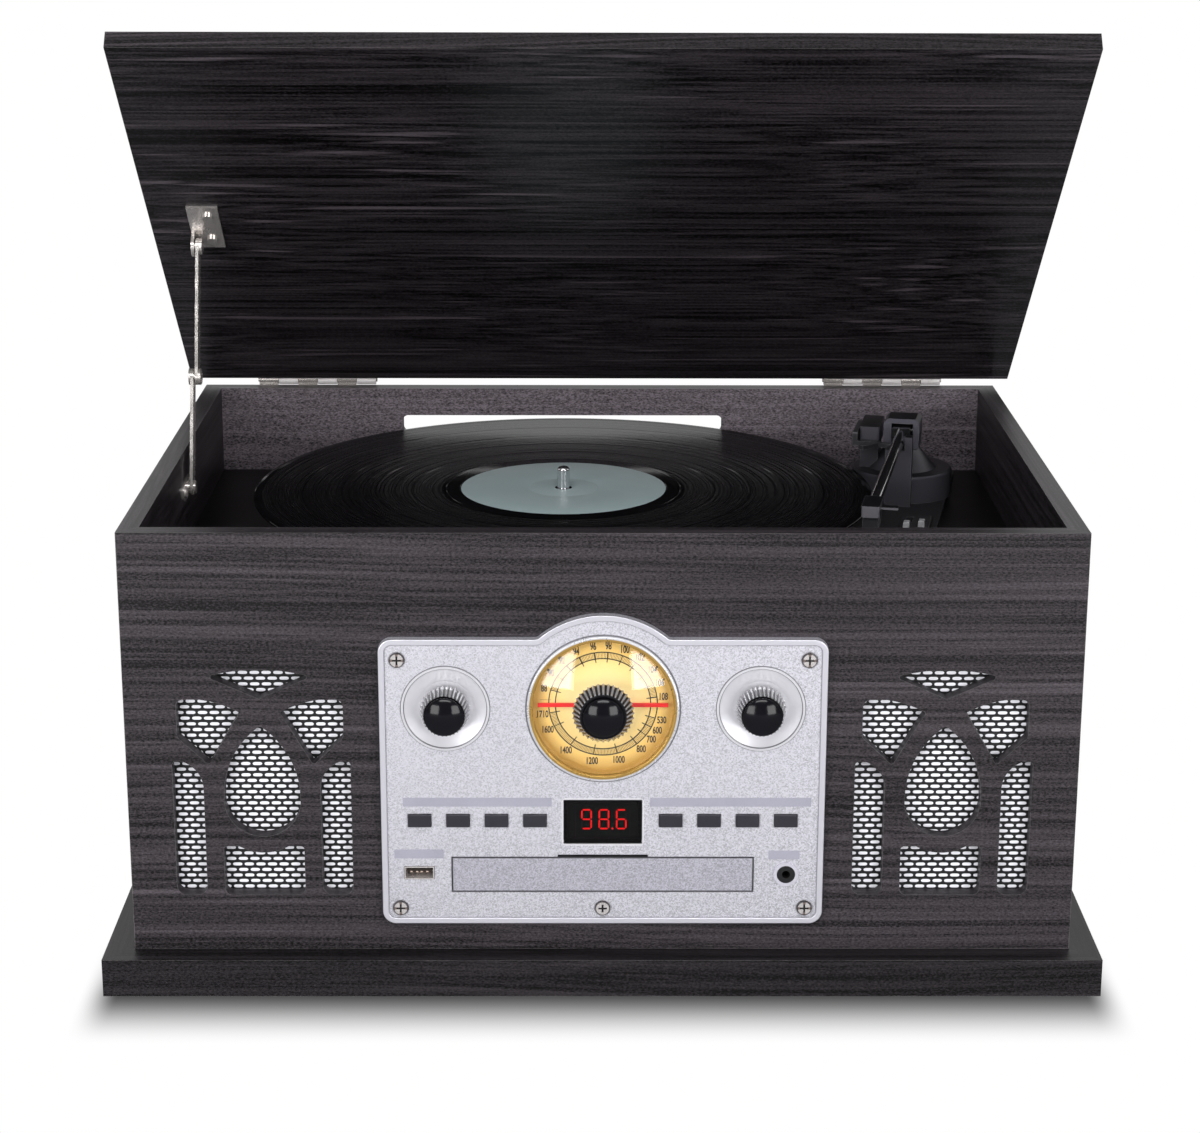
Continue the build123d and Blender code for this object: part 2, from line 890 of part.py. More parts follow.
lid_leaf_tall = lid_thickness - 2 * loose
with BuildPart() as lid_leaves:
    with BuildSketch(lid_level(lid_base + loose)):
        with Locations(*[(side * hinge_x, lid_leaf_back - hinge_depth) for side in (-1, 1)]):
            Rectangle(hinge_length, leaf_thickness, align=(Align.CENTER, Align.MAX))
    extrude(amount=lid_leaf_tall)
    with BuildSketch(lid_level(hinge_height - lid_web / 2)):
        with Locations(*[(x, (lid_back - hinge_depth) / 2) for x in knuckle_spots[1]]):
            Rectangle(knuckle_length - gap, hinge_depth - lid_back)
    extrude(amount=lid_web)
    with Locations(lid_side(0)):
        with Locations(*[(0, 0, x) for x in knuckle_spots[1]]):
            Cylinder(barrel_radius, knuckle_length - gap)
            Cylinder(hinge_pin_radius + running, knuckle_length, mode=Mode.SUBTRACT)
    with Locations(lid_level(lid_screw_height)):
        with Locations(*[(x, lid_leaf_back - hinge_depth, 0) for x in lid_screw_spots]):
            Cylinder(
                screw_head_radius + running,
                leaf_thickness,
                rotation=(90, 0, 0),
                align=STAND,
                mode=Mode.SUBTRACT,
            )
with BuildPart() as lid_hinge_screws:
    with Locations(lid_level(lid_screw_height)):
        with Locations(*[(x, lid_leaf_back - hinge_depth, 0) for x in lid_screw_spots]):
            Cylinder(screw_head_radius, leaf_thickness, rotation=(90, 0, 0), align=STAND)
            Cylinder(
                screw_radius,
                leaf_thickness + screw_length - loose,
                rotation=(90, 0, 0),
                align=STAND,
            )
save_group([lid_leaves, lid_hinge_screws], "hinge_lid_leaves")

# Folding stay: a wall bracket with its stud, two links, and a bracket under the lid
stay_upper_face = stay_lower_face + link_thickness + 2 * loose
lid_swing = radians(lid_open)
closed_reach = -stay_lid_reach
closed_drop = lid_base - stay_lid_drop - hinge_height
lid_pivot_depth = hinge_depth + closed_reach * cos(lid_swing) + closed_drop * sin(lid_swing)
lid_pivot_height = hinge_height - closed_reach * sin(lid_swing) + closed_drop * cos(lid_swing)
stay_rise = lid_pivot_height - stay_height
stay_run = lid_pivot_depth - stay_depth
stay_length = hypot(stay_rise, stay_run)
stay_turn = degrees(atan2(stay_rise, stay_run))
elbow_depth = stay_depth + stay_run * stay_lower_length / stay_length
elbow_height = stay_height + stay_rise * stay_lower_length / stay_length

with BuildPart(sideways(stay_x)) as stay_plate:
    with BuildSketch(sideways(stay_x)):
        with Locations((stay_depth, stay_height)):
            SlotCenterToCenter(2 * stay_screw_pitch, stay_plate_radius)
        with Locations(*stay_plate_screws):
            Circle(screw_radius + running, mode=Mode.SUBTRACT)
    extrude(amount=stay_plate_thickness)
    with Locations((stay_depth, stay_height)):
        Cylinder(stay_head_radius, stay_lower_face - running - stay_x, align=STAND)
        Cylinder(stay_pin_radius, stay_upper_face - loose - stay_x, align=STAND)
    with Locations((stay_depth, stay_height, stay_lower_face + link_thickness + running - stay_x)):
        Cylinder(stay_head_radius, stay_head_height, align=STAND)
save(stay_plate, "stay_wall_bracket")

with BuildPart() as lower_link:
    with BuildSketch(sideways(stay_lower_face)):
        with Locations(((stay_depth + elbow_depth) / 2, (stay_height + elbow_height) / 2)):
            SlotCenterToCenter(stay_lower_length, link_width, rotation=stay_turn)
        with Locations((stay_depth, stay_height)):
            Circle(stay_pin_radius + running, mode=Mode.SUBTRACT)
    extrude(amount=link_thickness)
    with Locations(sideways(stay_lower_face)):
        with Locations((elbow_depth, elbow_height)):
            Cylinder(rivet_head_radius, stay_head_height, align=HANG)
            Cylinder(stay_pin_radius, link_thickness + loose, align=STAND)
save(lower_link, "stay_lower_link")

with BuildPart() as upper_link:
    with BuildSketch(sideways(stay_upper_face)):
        with Locations(((lid_pivot_depth + elbow_depth) / 2, (lid_pivot_height + elbow_height) / 2)):
            SlotCenterToCenter(stay_length - stay_lower_length, link_width, rotation=stay_turn)
        with Locations((lid_pivot_depth, lid_pivot_height)):
            Circle(stay_pin_radius + running, mode=Mode.SUBTRACT)
    extrude(amount=link_thickness)
    with Locations(sideways(stay_upper_face + link_thickness)):
        with Locations((elbow_depth, elbow_height)):
            Cylinder(rivet_head_radius, rivet_head_height, align=STAND)
    fillet(upper_link.edges().group_by(Axis.X)[-1], link_round)
save(upper_link, "stay_upper_link")

ear_depth = -stay_lid_reach
ear_height = lid_base - stay_lid_drop - hinge_height
flange_y = ear_depth - bracket_set_back
ear_pin_length = stay_upper_face + link_thickness + running - stay_lower_face
with BuildPart() as lid_bracket:
    with BuildSketch(lid_level(lid_base - stay_plate_thickness)):
        with Locations((stay_lower_face + bracket_width / 2, flange_y)):
            Rectangle(bracket_width, bracket_length)
        with Locations(*[(x, -reach) for x, reach in stay_reach_spots]):
            Circle(screw_radius + running, mode=Mode.SUBTRACT)
    extrude(amount=stay_plate_thickness)
    with BuildSketch(lid_side(stay_lower_face)):
        with Locations((ear_depth, ear_height)):
            Circle(ear_width / 2)
        with Locations((ear_depth, (ear_height + lid_base - hinge_height) / 2)):
            Rectangle(ear_width, stay_lid_drop)
    extrude(amount=link_thickness)
    with Locations(lid_side(stay_lower_face)):
        with Locations((ear_depth, ear_height)):
            Cylinder(stay_pin_radius, ear_pin_length, align=STAND)
        with Locations((ear_depth, ear_height, ear_pin_length)):
            Cylinder(rivet_head_radius, rivet_head_height, align=STAND)
with BuildPart() as lid_bracket_screws:
    with Locations(lid_level(lid_base - stay_plate_thickness)):
        with Locations(*[(x, -reach, 0) for x, reach in stay_reach_spots]):
            Cylinder(screw_head_radius, screw_head_height, align=HANG)
            Cylinder(screw_radius, screw_length, align=STAND)
save_group([lid_bracket, lid_bracket_screws], "stay_lid_bracket")


# Front panel: a moulded plate with a bead round it, a hump for the dial and two knob dishes
def panel_outline(inset):
    """The panel's outline, drawn in by an inset."""
    with BuildSketch(mode=Mode.PRIVATE) as outline:
        with Locations((0, panel_middle)):
            RectangleRounded(panel_width - 2 * inset, panel_height - 2 * inset, panel_corner - inset)
        with Locations((0, dial_height)):
            Circle(hump_radius - inset)
        junctions = outline.vertices().filter_by_position(Axis.X, -hump_radius, hump_radius)
        fillet(junctions, shoulder_radius + inset)
    return outline.sketch


dish_spots = [(-side_knob_x, side_knob_height), (side_knob_x, side_knob_height)]
key_spots = [(x, key_height) for x in key_xs]
with BuildPart() as front_panel:
    with BuildSketch(upright(0)):
        add(panel_outline(0))
    extrude(amount=panel_thickness)
    with BuildSketch(upright(-panel_thickness)):
        add(panel_outline(0))
        add(panel_outline(bead_width), mode=Mode.SUBTRACT)
    extrude(amount=bead_proud)
    fillet(front_panel.edges().group_by(Axis.Y)[0], bead_round)
    with BuildSketch(upright(-panel_thickness)):
        with Locations(*dish_spots):
            Circle(dish_outer)
            Circle(dish_outer - dish_ring, mode=Mode.SUBTRACT)
    extrude(amount=dish_ring_proud)
    with Locations(upright(-panel_thickness)):
        with Locations(*dish_spots):
            Cone(dish_floor, dish_outer - dish_ring, dish_depth, align=HANG, mode=Mode.SUBTRACT)
            Cylinder(bush_hole, panel_thickness, align=HANG, mode=Mode.SUBTRACT)
        with Locations((0, dial_height)):
            Cylinder(dial_opening, panel_thickness, align=HANG, mode=Mode.SUBTRACT)
            Cylinder(lens_flange + lens_play, lens_thickness, align=HANG, mode=Mode.SUBTRACT)
        with Locations(*panel_screw_spots):
            Cylinder(panel_screw_shank + hole_play, panel_thickness, align=HANG, mode=Mode.SUBTRACT)
            Cylinder(panel_screw_radius + loose, screw_pocket, align=HANG, mode=Mode.SUBTRACT)
    with BuildSketch(upright(0)):
        with Locations((0, dial_height)):
            Circle(well_outer)
            Circle(well_inner, mode=Mode.SUBTRACT)
    extrude(amount=-well_depth)
    with BuildSketch(upright(well_depth)):
        with Locations((0, dial_height)):
            Circle(well_outer)
            Circle(well_hole, mode=Mode.SUBTRACT)
    extrude(amount=-well_floor)
    with Locations(upright(0)):
        with Locations(*board_post_spots):
            Cylinder(board_post_radius, board_depth, align=HANG)
    with BuildSketch(upright(0)):
        with Locations(*key_spots):
            Rectangle(key_width + 2 * hole_play, key_tall + 2 * hole_play)
        with Locations((0, window_height)):
            Rectangle(window_width - 2 * window_ledge, window_tall - 2 * window_ledge)
        with Locations((usb_x, usb_height)):
            Rectangle(usb_width + 2 * hole_play, usb_tall + 2 * hole_play)
        with Locations((aux_x, aux_height)):
            Circle(aux_bush_radius + hole_play)
        with Locations((0, door_height)):
            Rectangle(door_width + 2 * gap, door_tall + 2 * gap)
        with Locations((0, door_height + door_tall / 2 + gap + notch_tall / 2)):
            Rectangle(2 * notch_half, notch_tall)
    extrude(amount=panel_thickness, mode=Mode.SUBTRACT)
    with BuildSketch(upright(-panel_thickness)):
        with Locations((0, window_height)):
            Rectangle(window_width + 2 * hole_play, window_tall + 2 * hole_play)
    extrude(amount=-window_sink - window_thickness, mode=Mode.SUBTRACT)
save(front_panel, "front_panel")

# Radio dial: bezel ring, clear dome, dial plate and pointer
with BuildPart() as dial_bezel:
    with BuildSketch(upright(-panel_thickness)):
        with Locations((0, dial_height)):
            Circle(bezel_outer)
            Circle(bezel_inner, mode=Mode.SUBTRACT)
    extrude(amount=bezel_proud)
    fillet(dial_bezel.edges().group_by(Axis.Y)[0], bead_round)
save(dial_bezel, "dial_bezel")

dome_sphere = (lens_dome_radius**2 + lens_rise**2) / (2 * lens_rise)
inner_sphere = dome_sphere - lens_thickness
inner_edge = (inner_sphere**2 - (dome_sphere - lens_rise) ** 2) ** 0.5
with BuildPart() as dial_lens:
    with BuildSketch(sideways(0)):
        with BuildLine():
            RadiusArc(
                (-panel_thickness, dial_height + lens_dome_radius),
                (-dome_front, dial_height),
                -dome_sphere,
            )
            Line((-dome_front, dial_height), (lens_thickness - dome_front, dial_height))
            RadiusArc(
                (lens_thickness - dome_front, dial_height),
                (-panel_thickness, dial_height + inner_edge),
                inner_sphere,
            )
            Polyline(
                (-panel_thickness, dial_height + inner_edge),
                (lens_thickness - panel_thickness, dial_height + inner_edge),
                (lens_thickness - panel_thickness, dial_height + lens_flange),
                (-panel_thickness, dial_height + lens_flange),
                (-panel_thickness, dial_height + lens_dome_radius),
            )
        make_face()
    revolve(axis=dial_axis)
    with Locations(upright(0)):
        with Locations((0, dial_height)):
            Cylinder(lens_hole, 2 * dome_front, mode=Mode.SUBTRACT)
save(dial_lens, "dial_lens")

with BuildPart(upright(well_depth)) as dial_plate:
    with Locations((0, dial_height)):
        Cylinder(well_inner - loose, dial_plate_thickness, align=STAND)
        Cylinder(shaft_radius + 2 * gap, dial_plate_thickness, align=STAND, mode=Mode.SUBTRACT)
save(dial_plate, "dial_plate")

pointer_back = well_depth - dial_plate_thickness - pointer_lift
with BuildPart(upright(pointer_back)) as dial_pointer:
    with Locations((0, dial_height)):
        Box(pointer_length, pointer_width, pointer_thickness, align=STAND)
        Cylinder(pointer_hub, pointer_thickness + gap, align=HANG)
        Cylinder(pointer_hub, pointer_thickness, align=STAND)
        Cylinder(shaft_radius + running, 2 * well_depth, mode=Mode.SUBTRACT)
save(dial_pointer, "dial_pointer")


# Knobs: a ribbed skirt, a cap and the shaft that carries them
def knob(spot, base, skirt, collar, skirt_height, cap, cap_height, ribs, shaft_foot):
    """A knob's skirt, cap and shaft; base and shaft foot are distances in front of the cabinet."""
    crest = base + skirt_height
    with BuildPart(upright(-base)) as body:
        with Locations(spot):
            Cone(skirt, collar, skirt_height, align=STAND)
            Cylinder(shaft_radius + running, skirt_height - knob_web, align=STAND, mode=Mode.SUBTRACT)
            with PolarLocations((skirt + collar) / 2, ribs):
                Cylinder(rib_cut, 2 * skirt_height, mode=Mode.SUBTRACT)
    with BuildPart(upright(-crest)) as top:
        with Locations(spot):
            Cylinder(cap, cap_height, align=STAND)
        fillet(top.edges().group_by(Axis.Y)[0], cap_round)
    with BuildPart(upright(-shaft_foot)) as shaft:
        with Locations(spot):
            Cylinder(shaft_radius, crest - knob_web - running - shaft_foot, align=STAND)
    return [body, top, shaft]


tuning = knob(
    (0, dial_height),
    dome_front + loose,
    tuning_skirt,
    tuning_collar,
    tuning_skirt_height,
    tuning_cap,
    tuning_cap_height,
    tuning_ribs,
    running - well_depth - well_floor - shaft_socket,
)
save_group(tuning, "tuning_knob")
for name, spot in zip(("volume_knob", "function_knob"), dish_spots):
    side_knob = knob(
        spot,
        knob_base + loose,
        side_skirt,
        side_collar,
        side_skirt_height,
        side_cap,
        side_cap_height,
        side_ribs,
        running - shaft_socket,
    )
    save_group(side_knob, name)

# Rotary controls behind the panel: the tuning gang on the dial well, a control behind each dish
with BuildPart(upright(well_depth + well_floor)) as tuning_gang:
    with Locations((0, dial_height)):
        Box(gang_side, gang_side, gang_depth, align=HANG)
        Cylinder(bush_radius, well_floor, align=STAND)
        Cylinder(shaft_radius + running, 2 * shaft_socket, mode=Mode.SUBTRACT)
with BuildPart(upright(0)) as side_controls:
    with Locations(*dish_spots):
        Cylinder(control_radius, control_depth, align=HANG)
        Cylinder(bush_radius, panel_thickness, align=STAND)
        Cylinder(shaft_radius + running, 2 * shaft_socket, mode=Mode.SUBTRACT)
save_group([tuning_gang, side_controls], "rotary_controls")

# Keys, each with a flange behind the panel and a stem into its switch
for index, spot in enumerate(key_spots):
    with BuildPart(upright(loose)) as key:
        with Locations(spot):
            Box(key_width, key_tall, loose + panel_thickness + key_proud, align=STAND)
            Box(
                key_width + 2 * key_flange,
                key_tall + 2 * key_flange,
                key_flange_thickness,
                align=HANG,
            )
            Cylinder(key_stem_radius, key_flange_thickness + key_stem_length, align=HANG)
        fillet(key.edges().group_by(Axis.Y)[0], key_round)
    save(key, f"key_{index + 1}")

# Control board, its key switches and the display block
with BuildPart() as control_board:
    with BuildSketch(upright(board_depth)):
        with Locations((0, (board_base + board_top) / 2)):
            Rectangle(2 * board_half, board_top - board_base)
        leg_x = (board_half + board_leg_half) / 2
        leg_height = (board_leg_base + board_base) / 2
        with Locations((-leg_x, leg_height), (leg_x, leg_height)):
            Rectangle(board_half - board_leg_half, board_base - board_leg_base)
    extrude(amount=-board_thickness)
with BuildPart(upright(board_depth)) as key_switches:
    with Locations(*key_spots):
        Box(switch_side, switch_side, switch_depth, align=STAND)
    with Locations(*[(x, h, switch_depth) for x, h in key_spots]):
        Cylinder(key_stem_radius + loose, switch_depth - switch_back, align=HANG, mode=Mode.SUBTRACT)
with BuildPart(upright(board_depth)) as display_block:
    with Locations((0, window_height)):
        Box(display_width, display_tall, board_depth - loose, align=STAND)
save_group([control_board, key_switches, display_block], "control_board")

with BuildPart(upright(window_sink + window_thickness - panel_thickness)) as display_window:
    with Locations((0, window_height)):
        Box(window_width, window_tall, window_thickness, align=STAND)
save(display_window, "display_window")

# Sockets on the board's legs
usb_length = board_depth + panel_thickness + usb_proud
with BuildPart(upright(board_depth)) as usb_socket:
    with Locations((usb_x, usb_height)):
        Box(usb_width, usb_tall, usb_length, align=STAND)
    with Locations((usb_x, usb_height, usb_length)):
        Box(
            usb_width - 2 * usb_shell,
            usb_tall - 2 * usb_shell,
            usb_tongue_length + usb_tongue_sink,
            align=HANG,
            mode=Mode.SUBTRACT,
        )
    with Locations((usb_x, usb_height + usb_tongue_rise, usb_length - usb_tongue_sink)):
        Box(usb_tongue_width, usb_tongue_thickness, usb_tongue_length, align=HANG)
save(usb_socket, "usb_socket")

with BuildPart(upright(0)) as aux_socket:
    with Locations((aux_x, aux_height)):
        Box(aux_body, aux_body, board_depth, align=HANG)
        Cylinder(aux_bush_radius, panel_thickness, align=STAND)
    with Locations((aux_x, aux_height, panel_thickness)):
        Cylinder(aux_ring, aux_ring_proud, align=STAND)
        Cylinder(aux_bore_radius, 2 * (panel_thickness + board_depth - aux_floor), mode=Mode.SUBTRACT)
save(aux_socket, "aux_socket")

# Disc drive: door, tray, case with its ceiling, and the hub on its pin
with BuildPart(upright(door_thickness - panel_thickness)) as tray_door:
    with Locations((0, door_height)):
        Box(door_width, door_tall, door_thickness, align=STAND)
save(tray_door, "tray_door")

tray_front = door_thickness - panel_thickness
with BuildPart(level(tray_base)) as cd_tray:
    with Locations((0, tray_front + tray_length / 2)):
        Box(tray_width, tray_length, tray_thickness, align=STAND)
    with Locations((0, disc_depth, tray_thickness)):
        Cylinder(disc_well_radius, disc_well_depth, align=HANG, mode=Mode.SUBTRACT)
        Cylinder(small_well_radius, disc_well_depth + small_well_depth, align=HANG, mode=Mode.SUBTRACT)
        Cylinder(tray_slot / 2, tray_thickness, align=HANG, mode=Mode.SUBTRACT)
    with Locations((0, (disc_depth + tray_front + tray_length) / 2)):
        Box(
            tray_slot,
            tray_front + tray_length - disc_depth,
            tray_thickness,
            align=STAND,
            mode=Mode.SUBTRACT,
        )
save(cd_tray, "cd_tray")

case_floor = tray_base - loose
case_half = case_inner_half + case_wall
case_back = case_front + case_length
case_pieces = [
    slab(-case_half, case_half, case_front, case_back, case_floor - case_wall, case_floor),
    slab(-case_half, case_half, case_front, case_back, case_ceiling, case_ceiling + case_wall),
    slab(-case_half, -case_inner_half, case_front, case_back, case_floor, case_ceiling),
    slab(case_inner_half, case_half, case_front, case_back, case_floor, case_ceiling),
    slab(-case_inner_half, case_inner_half, case_back - case_wall, case_back, case_floor, case_ceiling),
]
with BuildPart(level(floor_top)) as case_legs:
    with Locations(*[(x, d) for x in (-case_leg_x, case_leg_x) for d in (case_leg_front, case_leg_back)]):
        Cylinder(case_leg_radius, case_floor - case_wall - floor_top, align=STAND)
with BuildPart(level(case_floor)) as hub_pin:
    with Locations((0, disc_depth)):
        Cylinder(hub_pin_radius, hub_pin_length, align=STAND)
save_group([*case_pieces, case_legs, hub_pin], "drive_case")

with BuildPart(level(tray_base)) as disc_hub:
    with Locations((0, disc_depth)):
        Cylinder(hub_radius, hub_top - tray_base, align=STAND)
    with Locations((0, disc_depth, hub_flange_height - tray_base)):
        Cylinder(hub_flange, hub_flange_thickness, align=STAND)
    with Locations((0, disc_depth)):
        Cylinder(hub_pin_radius + running, hub_pin_length, align=STAND, mode=Mode.SUBTRACT)
    chamfer(disc_hub.edges().group_by(Axis.Z)[-1], hub_chamfer)
save(disc_hub, "disc_hub")

# Speakers behind the fretwork, and the cloths in their rebates
basket_back = wall + basket_flange + basket_depth
speaker_pieces = []
for side in (-1, 1):
    spot = (side * speaker_x, speaker_height)
    with BuildPart() as basket:
        with BuildSketch(upright(wall)):
            with Locations(spot):
                RectangleRounded(basket_flange_width, basket_flange_tall, basket_corner)
        extrude(amount=-basket_flange)
        with Locations(upright(wall + basket_flange)):
            with Locations(spot):
                Cone(basket_neck, basket_radius, basket_depth, align=HANG)
        with Locations(upright(wall)):
            with Locations(spot):
                Cone(
                    basket_neck - basket_wall,
                    basket_radius - basket_wall,
                    basket_flange + basket_depth - basket_wall,
                    align=HANG,
                    mode=Mode.SUBTRACT,
                )
        with BuildSketch(upright(wall)):
            with Locations(*speaker_screw_spots):
                Circle(screw_radius + running)
        extrude(amount=-basket_flange, mode=Mode.SUBTRACT)
    with BuildPart(upright(basket_back)) as magnet:
        with Locations(spot):
            Cylinder(magnet_radius, magnet_depth, align=HANG)
    with BuildPart(upright(wall + basket_flange)) as cone:
        with Locations(spot):
            Cone(cone_neck, cone_radius, cone_depth, align=HANG)
            Cone(
                cone_neck - cone_wall,
                cone_radius - cone_wall,
                cone_depth - cone_wall,
                align=HANG,
                mode=Mode.SUBTRACT,
            )
    speaker_pieces += [basket, magnet, cone]
save_group(speaker_pieces, "speakers")

with BuildPart(upright(grille_cloth_depth + loose)) as cloths:
    with Locations((-speaker_x, cloth_height), (speaker_x, cloth_height)):
        Box(cloth_width, cloth_tall, cloth_thickness, align=HANG)
save(cloths, "speaker_cloths")

# Main board on its standoffs
board_corners = [
    (x, main_board_middle + d)
    for x in (standoff_inset - main_board_width / 2, main_board_width / 2 - standoff_inset)
    for d in (standoff_inset - main_board_depth / 2, main_board_depth / 2 - standoff_inset)
]
with BuildPart(level(main_board_height)) as main_board:
    with Locations((0, main_board_middle)):
        Box(main_board_width, main_board_depth, board_thickness, align=STAND)
    with Locations(*board_corners):
        Cylinder(standoff_radius, main_board_height - floor_top, align=HANG)
save(main_board, "main_board")

# Rear plate with two line-out jacks and the power inlet
jack_spots = [(jack_middle + step * jack_pitch / 2, jack_plate_height) for step in (-1, 1)]
inlet_spot = (inlet_x, jack_plate_height)
plate_face = cabinet_depth + jack_plate_thickness
with BuildPart(upright(plate_face)) as jack_plate:
    with Locations((0, jack_plate_height)):
        Box(jack_plate_width, jack_plate_tall, jack_plate_thickness, align=STAND)
    with Locations(*jack_screw_spots):
        Cylinder(screw_radius + running, jack_plate_thickness, align=STAND, mode=Mode.SUBTRACT)
    with Locations(*jack_spots):
        Cylinder(jack_radius, jack_length, align=HANG)
        Cylinder(jack_body_radius, jack_plate_thickness + wall, align=STAND)
    with Locations(*[(x, h, -jack_length) for x, h in jack_spots]):
        Cylinder(jack_bore, jack_length, align=STAND, mode=Mode.SUBTRACT)
    with Locations(inlet_spot):
        Cylinder(inlet_radius, jack_plate_thickness + wall, align=STAND)
        Cylinder(
            inlet_bore, jack_plate_thickness + wall - inlet_floor, align=STAND, mode=Mode.SUBTRACT
        )
    with Locations((*inlet_spot, inlet_pin_sink)):
        Cylinder(inlet_pin, jack_plate_thickness + wall - inlet_pin_sink, align=STAND)
save(jack_plate, "rear_jack_plate")

# Turntable chassis plate on the deck, with the raised block of the two slide switches
chassis_corners = [
    arm_spot(chassis_right, along)
    for along in (chassis_front + chassis_corner, chassis_rear - chassis_corner)
]
with BuildPart() as chassis_plate:
    with BuildSketch(level(deck_height)):
        with Locations((record_x, record_depth)):
            Circle(chassis_radius)
        with Locations(*chassis_corners):
            Circle(chassis_corner)
        make_hull()
        with Locations((record_x, record_depth)):
            Circle(spindle_bearing_radius + running, mode=Mode.SUBTRACT)
        with Locations((pulley_x, pulley_depth)):
            Circle(2 * motor_shaft_radius, mode=Mode.SUBTRACT)
    extrude(amount=chassis_thickness)
    with BuildSketch(arm_level(chassis_top)):
        with Locations(((selector_left + selector_right) / 2, (selector_front + selector_back) / 2)):
            RectangleRounded(
                selector_right - selector_left, selector_back - selector_front, selector_corner
            )
    extrude(amount=selector_top - chassis_top)
    fillet(chassis_plate.edges().group_by(Axis.Z)[-1], chassis_round)
    with BuildSketch(arm_level(selector_top)):
        with Locations((speed_across, speed_along + speed_travel / 2)):
            Rectangle(selector_groove, speed_travel + switch_length + 2 * loose)
        with Locations((stop_across, stop_along + stop_travel / 2)):
            Rectangle(selector_groove, stop_travel + switch_length + 2 * loose)
    extrude(amount=-groove_depth, mode=Mode.SUBTRACT)
save(chassis_plate, "chassis_plate")

switch_foot = selector_top - groove_depth + loose
for name, across, along in (
    ("speed_selector", speed_across, speed_along),
    ("stop_switch", stop_across, stop_along),
):
    with BuildPart(arm_level(switch_foot)) as slide_switch:
        with Locations((across, along)):
            Box(
                selector_groove - 2 * loose,
                switch_length,
                selector_top + switch_proud - switch_foot,
                align=STAND,
            )
        fillet(slide_switch.edges().group_by(Axis.Z)[-1], switch_round)
    save(slide_switch, name)

# Spindle, held under the plate by its flange
with BuildPart(level(deck_height)) as spindle:
    with Locations((record_x, record_depth)):
        Cylinder(spindle_flange, chassis_thickness, align=HANG)
        Cylinder(spindle_bearing_radius, record_height + hole_play - deck_height, align=STAND)
        Cylinder(spindle_radius, record_height + spindle_proud - deck_height, align=STAND)
    fillet(spindle.edges().group_by(Axis.Z)[-1], spindle_round)
save(spindle, "spindle")

# Platter: top, skirt, belt rim and hub; its mat and the record
with BuildPart(level(platter_height)) as platter:
    with Locations((record_x, record_depth)):
        Cylinder(platter_radius, platter_top_thickness, align=HANG)
    with Locations((record_x, record_depth, -platter_top_thickness)):
        Cylinder(platter_radius, platter_skirt_drop, align=HANG)
        Cylinder(platter_radius - platter_skirt, platter_skirt_drop, align=HANG, mode=Mode.SUBTRACT)
        Cylinder(belt_rim_radius, belt_rim_drop, align=HANG)
        Cylinder(belt_rim_radius - belt_rim_wall, belt_rim_drop, align=HANG, mode=Mode.SUBTRACT)
        Cylinder(
            platter_hub_radius,
            platter_height - platter_top_thickness - chassis_top - loose,
            align=HANG,
        )
    with Locations((record_x, record_depth)):
        Cylinder(spindle_bearing_radius + running, platter_height, mode=Mode.SUBTRACT)
save(platter, "platter")

with BuildPart(level(platter_height)) as platter_mat:
    with Locations((record_x, record_depth)):
        Cylinder(mat_radius, mat_thickness, align=STAND)
        Cylinder(spindle_bearing_radius + gap, mat_thickness, align=STAND, mode=Mode.SUBTRACT)
save(platter_mat, "platter_mat")

with BuildPart(level(mat_height)) as record:
    with Locations((record_x, record_depth)):
        Cylinder(record_radius, record_thickness, align=STAND)
        Cylinder(record_hole, record_thickness, align=STAND, mode=Mode.SUBTRACT)
    chamfer(record.edges().filter_by(GeomType.CIRCLE).group_by(SortBy.LENGTH)[-1], record_edge)
save(record, "record")

# Motor under the plate, its pulley, and the belt round pulley and rim
with BuildPart(level(deck_height)) as platter_motor:
    with Locations((pulley_x, pulley_depth)):
        Cylinder(motor_radius, motor_depth, align=HANG)
        Cylinder(motor_shaft_radius + running, 2 * motor_socket, mode=Mode.SUBTRACT)
save(platter_motor, "platter_motor")

pulley_foot = belt_height - (pulley_tall - belt_width) / 2
with BuildPart() as motor_pulley:
    with Locations(level(pulley_foot)):
        with Locations((pulley_x, pulley_depth)):
            Cylinder(pulley_radius, pulley_tall, align=STAND)
    with Locations(level(deck_height - motor_socket + running)):
        with Locations((pulley_x, pulley_depth)):
            Cylinder(motor_shaft_radius, pulley_foot - deck_height + motor_socket, align=STAND)
save(motor_pulley, "motor_pulley")

with BuildPart() as drive_belt:
    for reach, mode in ((loose + belt_thickness, Mode.ADD), (loose, Mode.SUBTRACT)):
        with BuildSketch(level(belt_height)):
            with Locations((record_x, record_depth)):
                Circle(belt_rim_radius + reach)
            with Locations((pulley_x, pulley_depth)):
                Circle(pulley_radius + reach)
            make_hull()
        extrude(amount=belt_width, mode=mode)
save(drive_belt, "drive_belt")

